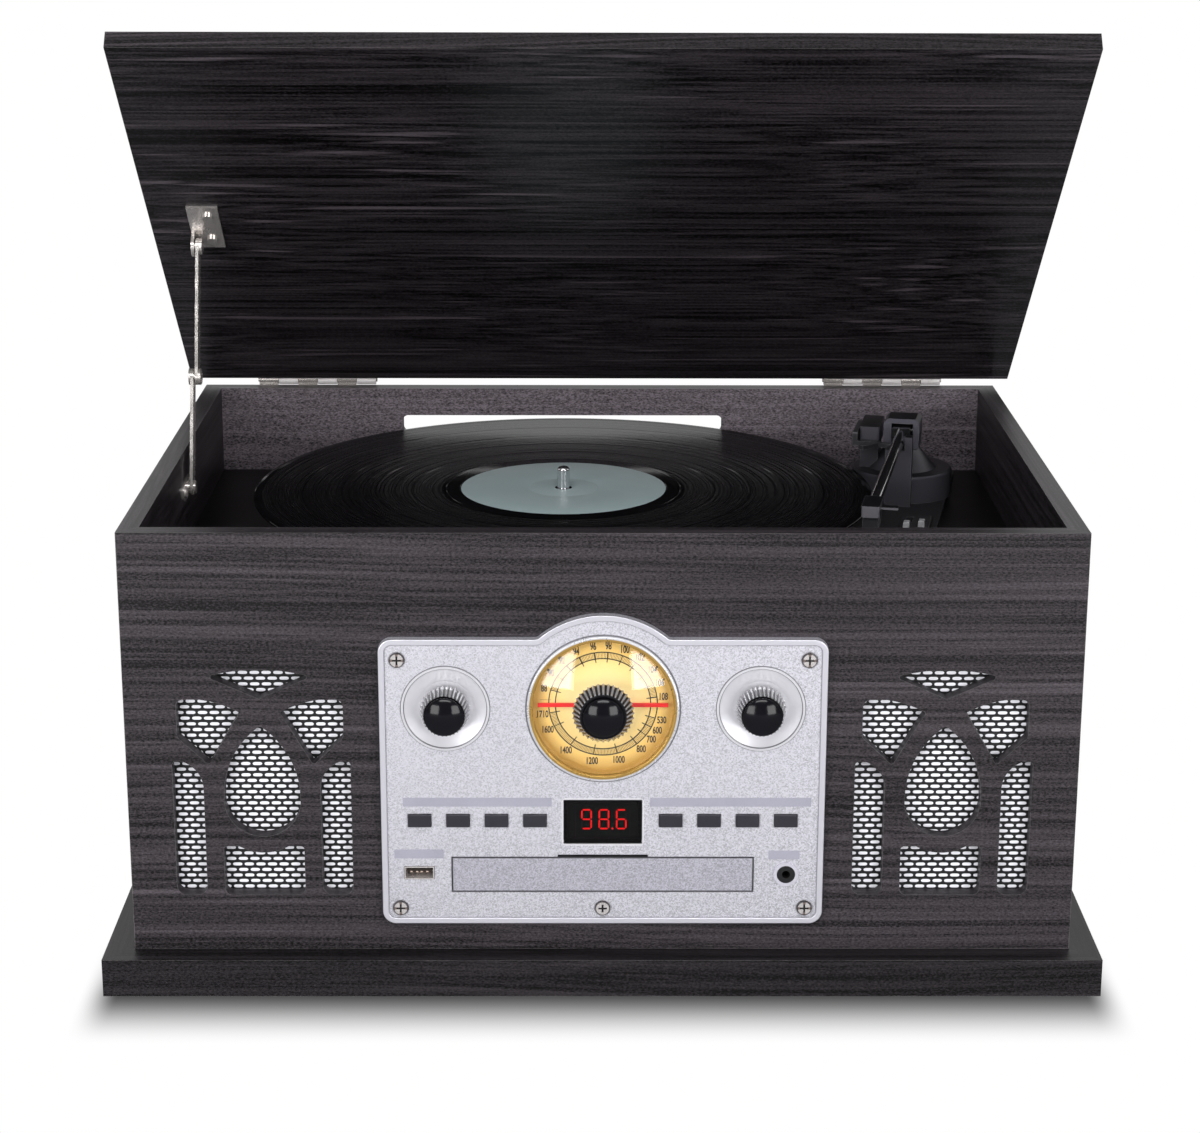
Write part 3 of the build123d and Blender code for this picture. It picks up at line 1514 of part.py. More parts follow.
# Tonearm base: drum, cone, cue housing and arm rest in one moulding
housing_middle = (housing_left + housing_right) / 2
with BuildPart() as arm_base:
    with Locations(arm_level(chassis_top)):
        Cylinder(drum_radius, drum_top - chassis_top, align=STAND)
    fillet(arm_base.edges().group_by(Axis.Z)[-1], drum_round)
    with Locations(arm_level(drum_top)):
        Cone(cone_base, cone_top_radius, cone_top - drum_top, align=STAND)
    with BuildSketch(arm_level(drum_top - pedestal_lap)):
        with Locations((housing_middle, pedestal_middle)):
            Rectangle(housing_right - housing_left - pedestal_lap, pedestal_length)
    extrude(amount=housing_base - drum_top + pedestal_lap)
    with BuildSketch(arm_level(housing_base)):
        with Locations((housing_middle, (housing_front + housing_back) / 2)):
            RectangleRounded(
                housing_right - housing_left, housing_back - housing_front, housing_corner
            )
    extrude(amount=housing_top - housing_base)
    with BuildSketch(arm_level(chassis_top)):
        with Locations(((rest_left + rest_outer) / 2, (rest_front + rest_web_back) / 2)):
            Rectangle(rest_outer - rest_left, rest_web_back - rest_front)
    extrude(amount=rest_cradle - chassis_top)
    with BuildSketch(arm_level(rest_cradle)):
        with Locations(((rest_inner + rest_outer) / 2, (rest_front + rest_back) / 2)):
            Rectangle(rest_outer - rest_inner, rest_back - rest_front)
    extrude(amount=rest_top - rest_cradle)
    with Locations(arm_level(cone_top)):
        Cylinder(
            swing_shaft_radius + running,
            cone_top - swing_shaft_foot + loose,
            align=HANG,
            mode=Mode.SUBTRACT,
        )
    with Locations(arm_side(housing_left)):
        with Locations((cue_pivot_along, cue_pivot_height)):
            Cylinder(lift_pin_radius + running, cue_pin_length, align=STAND, mode=Mode.SUBTRACT)
save(arm_base, "arm_base")

# Gimbal block on the swing shaft
with BuildPart() as gimbal_block:
    with BuildSketch(arm_level(block_base)):
        with Locations(((block_left + block_right) / 2, (block_front + block_back) / 2)):
            Rectangle(block_right - block_left, block_back - block_front)
    extrude(amount=block_top - block_base)
    chamfer(gimbal_block.edges().group_by(Axis.Z)[-1], block_bevel)
    slot_middle = (block_front + block_slot_back) / 2
    with BuildSketch(arm_level(block_slot_base)):
        with Locations((0, slot_middle)):
            Rectangle(2 * block_slot_half, block_slot_back - block_front)
    extrude(amount=block_slot_top - block_slot_base, mode=Mode.SUBTRACT)
    with Locations(arm_side(0)):
        with Locations((0, arm_height)):
            Cylinder(lift_pin_radius + running, 4 * block_right, mode=Mode.SUBTRACT)
    with Locations(arm_level(swing_shaft_foot)):
        Cylinder(swing_shaft_radius, block_base - swing_shaft_foot, align=STAND)
save(gimbal_block, "gimbal_block")

# Arm: root between the gimbal's cheeks on two pins, and the tube
with BuildPart() as arm_tube:
    with BuildSketch(arm_level(arm_height - arm_root_drop)):
        with Locations((0, (arm_root_front + arm_root_back) / 2)):
            Rectangle(2 * arm_root_half, arm_root_back - arm_root_front)
    extrude(amount=arm_root_tall)
    with Locations(arm_side(0)):
        with Locations((0, arm_height)):
            Cylinder(lift_pin_radius, 2 * (block_right - loose))
        with Locations((shell_back, arm_height)):
            Cylinder(
                arm_tube_radius,
                arm_root_front - shell_back,
                rotation=(0, 90, 0),
                align=STAND,
            )
save(arm_tube, "arm_tube")

with BuildPart() as headshell:
    with BuildSketch(arm_level(shell_base)):
        with Locations((0, (shell_front + shell_back) / 2)):
            RectangleRounded(2 * shell_half, shell_back - shell_front, shell_corner)
    extrude(amount=shell_top - shell_base)
    with BuildSketch(arm_level(finger_base)):
        with Locations((shell_half + (finger_reach - finger_lap) / 2, finger_along)):
            Rectangle(finger_reach + finger_lap, finger_width)
    extrude(amount=finger_thickness)
save(headshell, "headshell")

with BuildPart() as cartridge:
    with BuildSketch(arm_level(cartridge_base)):
        with Locations((0, (cartridge_front + cartridge_back) / 2)):
            Rectangle(2 * cartridge_half, cartridge_back - cartridge_front)
    extrude(amount=shell_base - cartridge_base)
    with Locations(arm_level(cartridge_base)):
        with Locations((0, -stylus_reach)):
            Cone(stylus_tip, stylus_radius, cartridge_base - record_height - stylus_gap, align=HANG)
save(cartridge, "cartridge")

# Cue lever: side plate on its pin, curved bar under the tube, and handle
cue_plate_x = housing_left - gap
cue_outer_x = cue_plate_x - cue_plate_thickness
bar_middle = (cue_bar_inner + cue_bar_outer) / 2
bar_arc = CenterArc((0, 0), bar_middle, arm_forward - cue_bar_sweep, cue_bar_sweep + cue_bar_lead)
with BuildPart() as cue_lever:
    with BuildSketch(arm_side(cue_plate_x)):
        with Locations(
            ((cue_plate_front + cue_plate_back) / 2, (cue_bar_base + cue_plate_top) / 2)
        ):
            RectangleRounded(
                cue_plate_back - cue_plate_front, cue_plate_top - cue_bar_base, cue_plate_round
            )
        with Locations((cue_pivot_along, cue_pivot_height)):
            Circle(cue_boss)
    extrude(amount=-cue_plate_thickness)
    with Locations(arm_side(cue_plate_x)):
        with Locations((cue_pivot_along, cue_pivot_height)):
            Cylinder(lift_pin_radius, cue_pin_length, align=STAND)
    with BuildSketch(arm_level(cue_bar_base)):
        SlotArc(bar_arc, cue_bar_outer - cue_bar_inner)
        with Locations(((cue_outer_x + cue_web_right) / 2, cue_web_along)):
            Rectangle(cue_web_right - cue_outer_x, cue_web_width)
        with PolarLocations((cue_handle_reach + bar_middle) / 2, 1, start_angle=cue_handle_turn):
            Rectangle(cue_handle_reach - bar_middle, cue_handle_width)
    extrude(amount=cue_bar_top - cue_bar_base)
save(cue_lever, "cue_lever")


# Screws: panel, speakers, jack plate and stay bracket, with cross recesses in their heads
def screws(plane, spots, head, head_height, shank, length):
    """Screws whose heads stand on a plane, with their shanks behind it."""
    with BuildPart(plane) as group:
        with Locations(*spots):
            Cylinder(head, head_height, align=STAND)
            Cylinder(shank, length, align=HANG)
        with Locations(*[(*spot, head_height) for spot in spots]):
            Box(head * cross_reach, head * cross_slot, cross_depth, align=HANG, mode=Mode.SUBTRACT)
            Box(head * cross_slot, head * cross_reach, cross_depth, align=HANG, mode=Mode.SUBTRACT)
    return group


all_screws = [
    screws(
        upright(screw_pocket - panel_thickness),
        panel_screw_spots,
        panel_screw_radius,
        panel_screw_head,
        panel_screw_shank,
        panel_screw_length,
    ),
    screws(
        rearward(wall + basket_flange),
        [(-x, h) for x, h in speaker_screw_spots],
        screw_head_radius,
        screw_head_height,
        screw_radius,
        basket_flange + screw_length,
    ),
    screws(
        rearward(cabinet_depth + jack_plate_thickness),
        jack_screw_spots,
        screw_head_radius,
        screw_head_height,
        screw_radius,
        jack_plate_thickness + screw_length,
    ),
    screws(
        sideways(stay_x + stay_plate_thickness),
        stay_plate_screws,
        screw_head_radius,
        stay_screw_head,
        screw_radius,
        stay_plate_thickness + screw_length,
    ),
]
save_group(all_screws, "screws")
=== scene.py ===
# %% [markdown]
# # A music center: turntable, radio and disc player in one cabinet
#
# The cabinet, the hinges, the tonearm and the other hard pieces come packed from CAD, already in
# place. This lesson gives each of them a finish, and adds the pieces that a lens and a lamp notice
# most: the ribbed knobs, the woven grille cloths, the printed dial and the record.

import math

import bmesh
import bpy
import numpy as np
from mathutils import Matrix, Vector


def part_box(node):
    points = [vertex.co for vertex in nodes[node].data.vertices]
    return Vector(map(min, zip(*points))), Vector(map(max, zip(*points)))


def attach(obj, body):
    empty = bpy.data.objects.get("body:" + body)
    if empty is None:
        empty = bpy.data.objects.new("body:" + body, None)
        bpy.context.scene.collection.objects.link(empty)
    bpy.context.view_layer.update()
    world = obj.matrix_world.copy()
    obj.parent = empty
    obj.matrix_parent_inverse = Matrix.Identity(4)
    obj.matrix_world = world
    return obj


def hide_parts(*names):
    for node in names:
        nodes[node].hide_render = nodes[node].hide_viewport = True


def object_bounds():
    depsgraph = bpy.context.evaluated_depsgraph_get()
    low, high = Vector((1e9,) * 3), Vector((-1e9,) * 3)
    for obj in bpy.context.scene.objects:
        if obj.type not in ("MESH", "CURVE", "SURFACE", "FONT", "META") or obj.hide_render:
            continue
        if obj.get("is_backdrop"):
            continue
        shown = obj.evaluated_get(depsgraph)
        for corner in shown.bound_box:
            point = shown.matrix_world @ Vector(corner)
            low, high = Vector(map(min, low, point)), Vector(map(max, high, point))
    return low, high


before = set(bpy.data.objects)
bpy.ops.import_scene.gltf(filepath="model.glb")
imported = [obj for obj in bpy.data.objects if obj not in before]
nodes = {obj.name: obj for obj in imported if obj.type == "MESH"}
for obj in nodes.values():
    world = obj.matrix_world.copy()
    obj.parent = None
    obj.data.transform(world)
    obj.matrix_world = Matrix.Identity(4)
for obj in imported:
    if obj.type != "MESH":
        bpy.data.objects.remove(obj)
cad_box = [list(map(float, corner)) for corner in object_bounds()]
front_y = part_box("front_board")[0].y
under_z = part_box("plinth_rails")[0].z
print("pieces from CAD:", len(nodes), "box", cad_box)

# %% [markdown]
# ## Places on the cabinet
#
# Every size below is in millimetres, counted as a cabinet maker would: across from the middle, deep
# from the front face, and high from the underside of the plinth. One function turns such a place
# into the shared frame, which is in metres.


# %% From cabinet sizes to the frame
def spot(across, deep, high):
    """Millimetres across, deep and high on the cabinet, as a point in metres."""
    return np.array([across / 1000, front_y + deep / 1000, under_z + high / 1000])


def spots(across, deep, high):
    """The same for whole arrays: their last axis becomes x, y, z."""
    parts = np.broadcast_arrays(across, deep, high)
    return np.stack(parts, axis=-1) / 1000 + np.array([0, front_y, under_z])


print("front face at", round(front_y * 1000, 2), "mm")

# %% [markdown]
# ## Camera
#
# The camera stands a little over a metre in front of the cabinet and looks down at it. Its place,
# its tilt and its focal length were solved from straight edges in the photograph, so nothing here
# is guessed by eye. A camera looks along its own minus Z, which makes its matrix three columns.

# %% The camera
camera_data = bpy.data.cameras.new("camera")
camera_data.sensor_width = 36.0
camera_data.lens = 81.41
camera = bpy.data.objects.new("camera", camera_data)
bpy.context.scene.collection.objects.link(camera)
pitch, yaw, roll = (math.radians(turn) for turn in (16.23, 0.34, 0.14))
ahead = Vector((math.sin(yaw) * math.cos(pitch), math.cos(yaw) * math.cos(pitch), -math.sin(pitch)))
right = Vector((math.cos(yaw), -math.sin(yaw), 0))
above = right.cross(ahead)
turned_right = right * math.cos(roll) + above * math.sin(roll)
turned_up = above * math.cos(roll) - right * math.sin(roll)
columns = Matrix((turned_right, turned_up, -ahead)).transposed()
camera.matrix_world = Matrix.LocRotScale(Vector(spot(-8.17, -1123.91, 523.69)), columns, None)
bpy.context.scene.camera = camera
print("camera at", tuple(round(v, 3) for v in camera.location))

# %% [markdown]
# ## Arithmetic on shader outputs
#
# A finish is mostly arithmetic on masks. `Out` wraps an output socket, so that Python's own
# operators place the Math nodes: `tooth * 0.3 + 0.85` reads as it is meant. Masks run from 0 to 1,
# so `*` keeps what both masks cover, and `|`, the larger of two values, keeps what either covers.


# %% Outputs that add and multiply
def node_in(tree, kind, **values):
    """Adds a node; values feed its sockets by name, or its settings where no socket has the name."""
    node = tree.nodes.new("ShaderNode" + kind)
    for name, value in values.items():
        socket = node.inputs.get(name.replace("_", " "))
        if socket is None:
            setattr(node, name, value)
        else:
            wire(value, socket)
    return node


def wire(value, socket):
    """Links an output to a socket, or writes a plain value on it; colours are three numbers."""
    if isinstance(value, Out):
        socket.id_data.links.new(value.socket, socket)
    else:
        socket.default_value = (*value, 1.0) if socket.type == "RGBA" else value


def feed(node, **values):
    """Wires outputs, or writes plain values, on a node's sockets by name."""
    for name, value in values.items():
        wire(value, node.inputs[name.replace("_", " ")])


def outs(node):
    """A node's outputs by name."""
    return {socket.name: Out(socket) for socket in node.outputs}


class Out:
    """A shader output that takes part in arithmetic: each operator places a Math node."""

    def __init__(self, socket):
        self.socket, self.tree = socket, socket.id_data

    def step(self, operation, *others):
        """The Math node of that name, on this output and the others."""
        node = node_in(self.tree, "Math", operation=operation)
        for value, socket in zip((self, *others), node.inputs):
            wire(value, socket)
        return Out(node.outputs[0])

    def __add__(self, other):
        return self.step("ADD", other)

    def __sub__(self, other):
        return self.step("SUBTRACT", other)

    def __rsub__(self, other):
        return self.step("MULTIPLY_ADD", -1.0, other)

    def __mul__(self, other):
        return self.step("MULTIPLY", other)

    def __truediv__(self, other):
        return self.step("DIVIDE", other)

    def __or__(self, other):
        return self.step("MAXIMUM", other)

    def __abs__(self):
        return self.step("ABSOLUTE")


def vectors(operation, one, *others, **values):
    """A Vector Math node on vectors; the distance and the dot product give a plain value."""
    node = node_in(one.tree, "VectorMath", operation=operation, **values)
    for value, socket in zip((one, *others), node.inputs):
        wire(value, socket)
    return Out(node.outputs["Value" if operation in ("DISTANCE", "DOT_PRODUCT") else "Vector"])


def scaled(colour, by):
    """A plain colour or vector times an output."""
    return Out(node_in(by.tree, "VectorMath", operation="SCALE", Vector=colour, Scale=by).outputs[0])


def axes(vector):
    """The three parts of a vector."""
    return [Out(socket) for socket in node_in(vector.tree, "SeparateXYZ", Vector=vector).outputs]


def mixed(factor, one, two, kind="RGBA", first=6, result=2):
    """Mixes two colours; with kind VECTOR, first 4 and result 1 it mixes two vectors."""
    node = node_in(factor.tree, "Mix", data_type=kind)
    for value, place in ((factor, 0), (one, first), (two, first + 1)):
        wire(value, node.inputs[place])
    return Out(node.outputs[result])


def mixed_vectors(factor, one, two):
    """Mixes two vectors."""
    return mixed(factor, one, two, "VECTOR", 4, 1)


def blended(factor, one, two):
    """Mixes two shaders."""
    node = node_in(factor.tree, "MixShader")
    for value, socket in zip((factor, one, two), node.inputs):
        wire(value, socket)
    return Out(node.outputs[0])


def ramp(value, low, high):
    """0 at low, 1 at high, smooth between; low may be the larger of the two."""
    values = dict(interpolation_type="SMOOTHSTEP", Value=value, From_Min=low, From_Max=high)
    return Out(node_in(value.tree, "MapRange", **values).outputs[0])


def noise(place, scale, detail=2.0, rough=0.5):
    """A noise texture's value at a place."""
    values = dict(Vector=place, Scale=scale, Detail=detail, Roughness=rough)
    return Out(node_in(place.tree, "TexNoise", **values).outputs["Fac"])


def stretched(place, scales, shift=(0, 0, 0)):
    """A place, stretched along the three axes."""
    return Out(node_in(place.tree, "Mapping", Vector=place, Scale=scales, Location=shift).outputs[0])


print("operators ready")

# %% [markdown]
# ## Groups and finishes
#
# A pattern that several finishes share is a node group: wood grain, a worn edge, metal sparkle. The
# first input of each is the place. A finish is a material with its Principled shader, which reads
# the Object coordinates, so a grain or a fleck keeps its true size on every piece.


# %% Groups, materials and dressing
def group(name, takes, gives):
    """An empty node group; takes maps inputs to defaults (None for a place), gives outputs to kinds."""
    tree = bpy.data.node_groups.new(name, "ShaderNodeTree")
    for label, value in takes.items():
        kind = "NodeSocketFloat" if isinstance(value, float) else "NodeSocketVector"
        socket = tree.interface.new_socket(label, in_out="INPUT", socket_type=kind)
        if value is not None:
            socket.default_value = value
    for label, kind in gives.items():
        tree.interface.new_socket(label, in_out="OUTPUT", socket_type="NodeSocket" + kind)
    return tree, outs(tree.nodes.new("NodeGroupInput")), tree.nodes.new("NodeGroupOutput").inputs


def use(group_tree, place, **values):
    """Puts a group after a place and gives its other inputs; its outputs by name."""
    node = place.tree.nodes.new("ShaderNodeGroup")
    node.node_tree = group_tree
    wire(place, node.inputs[0])
    feed(node, **values)
    return outs(node)


def finish_of(name, **values):
    """A new material, its Principled shader and its Object coordinates; values set the shader."""
    material = bpy.data.materials.new(name)
    material.use_nodes = True
    shader = material.node_tree.nodes["Principled BSDF"]
    feed(shader, **values)
    return material, shader, Out(node_in(material.node_tree, "TexCoord").outputs["Object"])


def opened(material):
    """The shader, the Object coordinates and the present colour of a finished material."""
    inside = material.node_tree.nodes
    shader = inside["Principled BSDF"]
    colour = Out(shader.inputs["Base Color"].links[0].from_socket)
    return shader, Out(inside["Texture Coordinate"].outputs["Object"]), colour


def facing(place):
    """The three parts of the normal, from the node that gives a place."""
    return axes(Out(place.socket.node.outputs["Normal"]))


def relief(shader, height, strength, distance=0.0001):
    """Gives the shader a fine relief."""
    node = node_in(shader.id_data, "Bump", Strength=strength, Distance=distance, Height=height)
    feed(shader, Normal=Out(node.outputs[0]))


def dress(material, *names):
    """Gives CAD pieces, or new ones, their material."""
    for name in names:
        piece = nodes.get(name) or bpy.data.objects[name]
        piece.data.materials.clear()
        piece.data.materials.append(material)


print("finish helpers ready")

# %% [markdown]
# ## Surfaces from arrays
#
# Each new piece is worked out with numpy: a grid of points, as a function of two parameters, or a
# profile turned round an axis. The points go into the mesh in one call, so nothing loops over them.


# %% Grid and lathe
def mesh_piece(name, points, faces):
    """A piece from rows of points in metres and lists of corner numbers."""
    mesh = bpy.data.meshes.new(name)
    mesh.from_pydata(points.tolist(), [], faces)
    piece = bpy.data.objects.new(name, mesh)
    bpy.context.scene.collection.objects.link(piece)
    return piece


def grid_piece(name, points):
    """A mesh from a grid of points whose first parameter closes on itself."""
    rows, columns = points.shape[:2]
    index = np.arange(rows * columns).reshape(rows, columns)
    index = np.vstack([index, index[:1]])
    faces = np.stack([index[:-1, :-1], index[1:, :-1], index[1:, 1:], index[:-1, 1:]], axis=-1)
    faces = faces.reshape(-1, 4)
    mesh = bpy.data.meshes.new(name)
    mesh.vertices.add(rows * columns)
    mesh.vertices.foreach_set("co", points.reshape(-1).astype(np.float32))
    mesh.loops.add(faces.size)
    mesh.loops.foreach_set("vertex_index", faces.reshape(-1).astype(np.int32))
    mesh.polygons.add(len(faces))
    mesh.polygons.foreach_set("loop_start", np.arange(0, faces.size, 4, dtype=np.int32))
    mesh.update(calc_edges=True)
    piece = bpy.data.objects.new(name, mesh)
    bpy.context.scene.collection.objects.link(piece)
    return piece


def tidy_mesh(piece, smooth=40):
    """Merges doubled points, closes seams and poles, turns faces outward, shades smooth by angle."""
    work = bmesh.new()
    work.from_mesh(piece.data)
    bmesh.ops.remove_doubles(work, verts=work.verts, dist=2e-6)
    bmesh.ops.dissolve_degenerate(work, edges=work.edges, dist=1e-6)
    bmesh.ops.recalc_face_normals(work, faces=work.faces)
    work.to_mesh(piece.data)
    work.free()
    piece.data.shade_smooth()
    piece.data.set_sharp_from_angle(angle=math.radians(smooth))
    return piece


def lathe(name, profile, middle, faces="up", turns=96, ripple=None, smooth=40):
    """A profile of (radius, rise) turned round an axis through middle, which faces up or front.

    ripple(angle, radius, rise) gives the radius at each point where the surface isn't round."""
    profile = np.array(profile, float)
    angle = np.linspace(0, 2 * np.pi, turns, endpoint=False)[:, None]
    radius, rise = (profile[None, :, part] * np.ones((turns, 1)) for part in (0, 1))
    if ripple is not None:
        radius = ripple(angle, radius, rise)
    one, two = radius * np.cos(angle), radius * np.sin(angle)
    across, deep, high = middle
    if faces == "up":
        points = spots(across + one, deep + two, high + rise)
    else:
        points = spots(across + one, deep - rise, high + two)
    return tidy_mesh(grid_piece(name, points), smooth)


def arc(start, end, middle, radius, count=8):
    """Points of a circle's arc between two angles in degrees, for rounded corners in profiles."""
    turn = np.radians(np.linspace(start, end, count))
    return [(middle[0] + radius * math.cos(t), middle[1] + radius * math.sin(t)) for t in turn]


def fit(piece, body, slot_name, material, *replaced):
    """Dresses a new piece, hangs it on its body, and hides the CAD pieces it stands for."""
    dress(material, piece.name)
    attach(piece, body)
    if replaced:
        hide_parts(*replaced)
    return piece


print("shape helpers ready")

# %% [markdown]
# ## Light and floor
#
# A product photograph on white is lit by large soft boxes. Three area lamps stand in for them: one
# above and in front, and one at each side, which give the pale shapes that shine in the dial's dome
# and on the knobs. The backdrop is white where the camera looks at it, but to a mirror the studio
# behind the camera is dim, so black gloss stays black. To the camera the floor is as white as the
# backdrop, with one soft contact shadow along the plinth's front edge, as the photograph has it.

# %% World, lamps and floor
world = bpy.data.worlds.new("white studio")
bpy.context.scene.world = world
world.use_nodes = True
sky = world.node_tree
sky.nodes.clear()
ray = outs(node_in(sky, "LightPath"))
looked_at = ray["Is Camera Ray"] | ray["Is Glossy Ray"] | ray["Is Transmission Ray"]
toward = axes(outs(node_in(sky, "TexCoord"))["Generated"])
dim = node_in(sky, "MapRange", Value=toward[1], From_Min=-0.35, From_Max=0.15, To_Min=0.1, To_Max=1.0)
backdrop = node_in(sky, "Background", Color=Out(dim.outputs[0]) | ray["Is Camera Ray"], Strength=1.0)
fill = node_in(sky, "Background", Color=(0.96, 0.97, 1.0), Strength=0.4)
seen = blended(looked_at, Out(fill.outputs[0]), Out(backdrop.outputs[0]))
wire(seen, node_in(sky, "OutputWorld").inputs[0])


def lamp(name, where, target, size, power):
    """A rectangular soft box that looks at a target."""
    data = bpy.data.lights.new(name, "AREA")
    data.shape = "RECTANGLE"
    data.size, data.size_y = size
    data.energy = power
    lamp_object = bpy.data.objects.new(name, data)
    bpy.context.scene.collection.objects.link(lamp_object)
    lamp_object.location = where
    lamp_object.rotation_euler = (Vector(target) - Vector(where)).to_track_quat("-Z", "Y").to_euler()


lamp("key_box", (0.0, -1.3, 1.35), (0, 0, 0.12), (1.1, 0.4), 9.5)
lamp("left_box", (-0.76, -1.25, 0.37), (0, 0, 0.14), (0.62, 0.64), 7.2)
lamp("right_box", (0.76, -1.25, 0.37), (0, 0, 0.14), (0.62, 0.64), 7.2)

reach = 14.0
corners = np.array([(-reach, -reach, 0), (reach, -reach, 0), (reach, reach, 0), (-reach, reach, 0)])
floor = mesh_piece("floor", corners, [(0, 1, 2, 3)])
floor_paint = bpy.data.materials.new("white floor")
floor_paint.use_nodes = True
tree = floor_paint.node_tree
tree.nodes.clear()
plinth_low, plinth_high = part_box("plinth_rails")
side_fade, front_fade, back_fade = (0.012, -0.006), (0.045, -0.008), (0.075, 0.006)
x, y, _ = axes(outs(node_in(tree, "TexCoord"))["Object"])
aside, before = abs(x) - plinth_high.x, plinth_low.y - y
shadow = ramp(aside, *side_fade) * ramp(before, *front_fade) * ramp(before * -1.0, *back_fade)
ray = outs(node_in(tree, "LightPath"))
shown = node_in(tree, "Emission", Color=shadow * -0.93 + 1.0, Strength=1.0)
matt = node_in(tree, "BsdfDiffuse", Color=(0.85, 0.85, 0.85))
mirrored = node_in(tree, "BsdfDiffuse", Color=(0.3, 0.3, 0.31))
lit_floor = blended(ray["Is Glossy Ray"], Out(matt.outputs[0]), Out(mirrored.outputs[0]))
seen = blended(ray["Is Camera Ray"], lit_floor, Out(shown.outputs[0]))
wire(seen, node_in(tree, "OutputMaterial").inputs[0])
floor.data.materials.append(floor_paint)
floor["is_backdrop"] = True
bpy.context.scene.view_settings.view_transform = "Standard"

# %% [markdown]
# ## Black woodgrain
#
# The cabinet is faced with a printed foil: charcoal, with long streaks that run along each board,
# some of them thin and paler, and a fine tooth all over. The streaks are noise stretched many times
# along the grain, bent a little by a slow noise so that they aren't ruled lines.

# %% The wood group
wood, given, gives = group(
    "black woodgrain",
    dict(Place=None, Tone=1.0, Pale=1.0, Bend=1.0, Streak=1.0),
    dict(Color="Color", Height="Float", Roughness="Float"),
)
drift = noise(stretched(given["Place"], (1.6, 5.0, 5.0)), 1.0, 1.0)
wander = vectors("ADD", given["Place"], scaled((0.0, 0.03, 0.03), drift * given["Bend"]))
bands = noise(stretched(wander, (1.0, 75, 75)), 1.0, 2.0, 0.55)
streaks = noise(stretched(wander, (1.3, 520, 520)), 1.0, 3.0, 0.65)
threads = noise(stretched(wander, (2.0, 240, 240), (3, 7, 1)), 1.0, 2.0, 0.5)
tooth = noise(stretched(given["Place"], (0.5, 1.0, 1.0)), 1500.0, 2.0, 0.7)
body = ramp(bands, 0.36, 0.64) * 0.34 + 0.52
body += (ramp(streaks, 0.36, 0.66) - 0.5) * given["Streak"] * 0.72
body += ramp(threads, 0.6, 0.74) * given["Pale"] * 0.6
body += (tooth - 0.5) * 3.6
wire(scaled((0.046, 0.039, 0.0445), (body | 0.04) * given["Tone"]), gives["Color"])
wire(streaks * 0.5 + tooth * 0.5, gives["Height"])
wire(tooth * 0.18 + 0.36, gives["Roughness"])
print("wood group:", len(wood.nodes), "nodes")

# %% [markdown]
# ## An edge mask
#
# Where two faces meet, the edge shows as a thin line. On the boards and plastics the line is paler, and on
# the tonearm's plastics that is a painted highlight. On the panel the line is darker, which is painted
# shade. The Bevel node looks a fraction of a millimetre around a point, and turns away from the true normal
# only near an edge, so the difference between the two is a mask of the edges.

# %% The edge group
edge, given, gives = group("edge mask", dict(Place=None, Radius=0.0005), dict(Edge="Float"))
rounded = Out(node_in(edge, "Bevel", samples=6, Radius=given["Radius"]).outputs[0])
alike = vectors("DOT_PRODUCT", rounded, outs(node_in(edge, "NewGeometry"))["Normal"])
patchy = ramp(noise(given["Place"], 60.0, 4.0), 0.25, 0.6)
wire(ramp(1.0 - alike, 0.02, 0.25) * patchy, gives["Edge"])
print("edge group:", len(edge.nodes), "nodes")

# %% [markdown]
# ## The boards
#
# Foil follows the length of each board. On the plinth it follows each of the four rails, and turns at the
# mitred corners, where a dark joint shows. The back board's inner face, in the well, is painted paler than
# its rear face, which is painted light on one foil. The lid's inside has stronger pale streaks than the
# front.


# %% Board finishes
def board_finish(name, along="x", tone=1.0, edge_strength=1.0, coat=0.0, rough=None, outside=None, **look):
    """Woodgrain along x or y, or along each rail of the plinth; outside is the rear face's tone."""
    material, shader, place = finish_of(
        name, Specular_IOR_Level=0.3, Coat_Weight=coat, Coat_Roughness=0.22
    )
    x, y, z = axes(place)
    swapped = Out(node_in(x.tree, "CombineXYZ", X=y, Y=x, Z=z).outputs[0])
    vector = place if along == "x" else swapped
    if along == "frame":
        low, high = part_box("plinth_rails")
        gap = (y - low.y).step("MINIMUM", high.y - y) - (high.x - abs(x))
        vector = mixed_vectors(gap.step("GREATER_THAN", 0.0), place, swapped)
    # Where outside is given, the inner face keeps tone. On the back board that much greater tone is painted
    # light.
    if outside:
        inner_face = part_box("back_board")[0].y
        tone = ramp(y, inner_face + 0.001, inner_face + 0.003) * (outside - tone) + tone
    grain = use(wood, vector, Tone=tone, **look)
    pale_edges = use(edge, place, Radius=0.0006)["Edge"]
    colour = mixed(pale_edges * (0.55 * edge_strength), grain["Color"], (0.19, 0.18, 0.18))
    if along == "frame":
        colour = mixed(ramp(abs(gap), 0.0004, 0.0001) * 0.8, colour, (0.008, 0.008, 0.008))
    feed(shader, Base_Color=colour)
    feed(shader, Roughness=grain["Roughness"] if rough is None else grain["Height"] * 0.2 + rough)
    relief(shader, grain["Height"], 0.35, 0.00012)
    return material


lid_look = dict(tone=0.52, coat=0.1, rough=0.24, Pale=4.5, Bend=2.5, Streak=1.7)
dress(board_finish("woodgrain along the front"), "front_board")
# Painted light: the back board's inner face has 3.3 times the tone of its rear face.
dress(board_finish("woodgrain on the back with painted light", tone=3.3, outside=1.0, Streak=0.35), "back_board")
dress(board_finish("woodgrain along the sides", "y"), "side_boards")
dress(board_finish("woodgrain round the plinth", "frame", tone=0.46), "plinth_rails")
dress(board_finish("woodgrain on the lid", **lid_look), "lid_board")
dress(board_finish("black fibreboard", tone=0.14, edge_strength=0.2, Pale=0.2), "deck_board", "bottom_board")
print("boards dressed")

# %% [markdown]
# ## Silver paint
#
# The panel is moulded plastic under a silver lacquer. Fine metal flakes lie in the lacquer at
# slightly different angles, so the paint sparkles under the lamps. Each flake is one cell of a
# Voronoi pattern with its own brightness and its own small tilt.

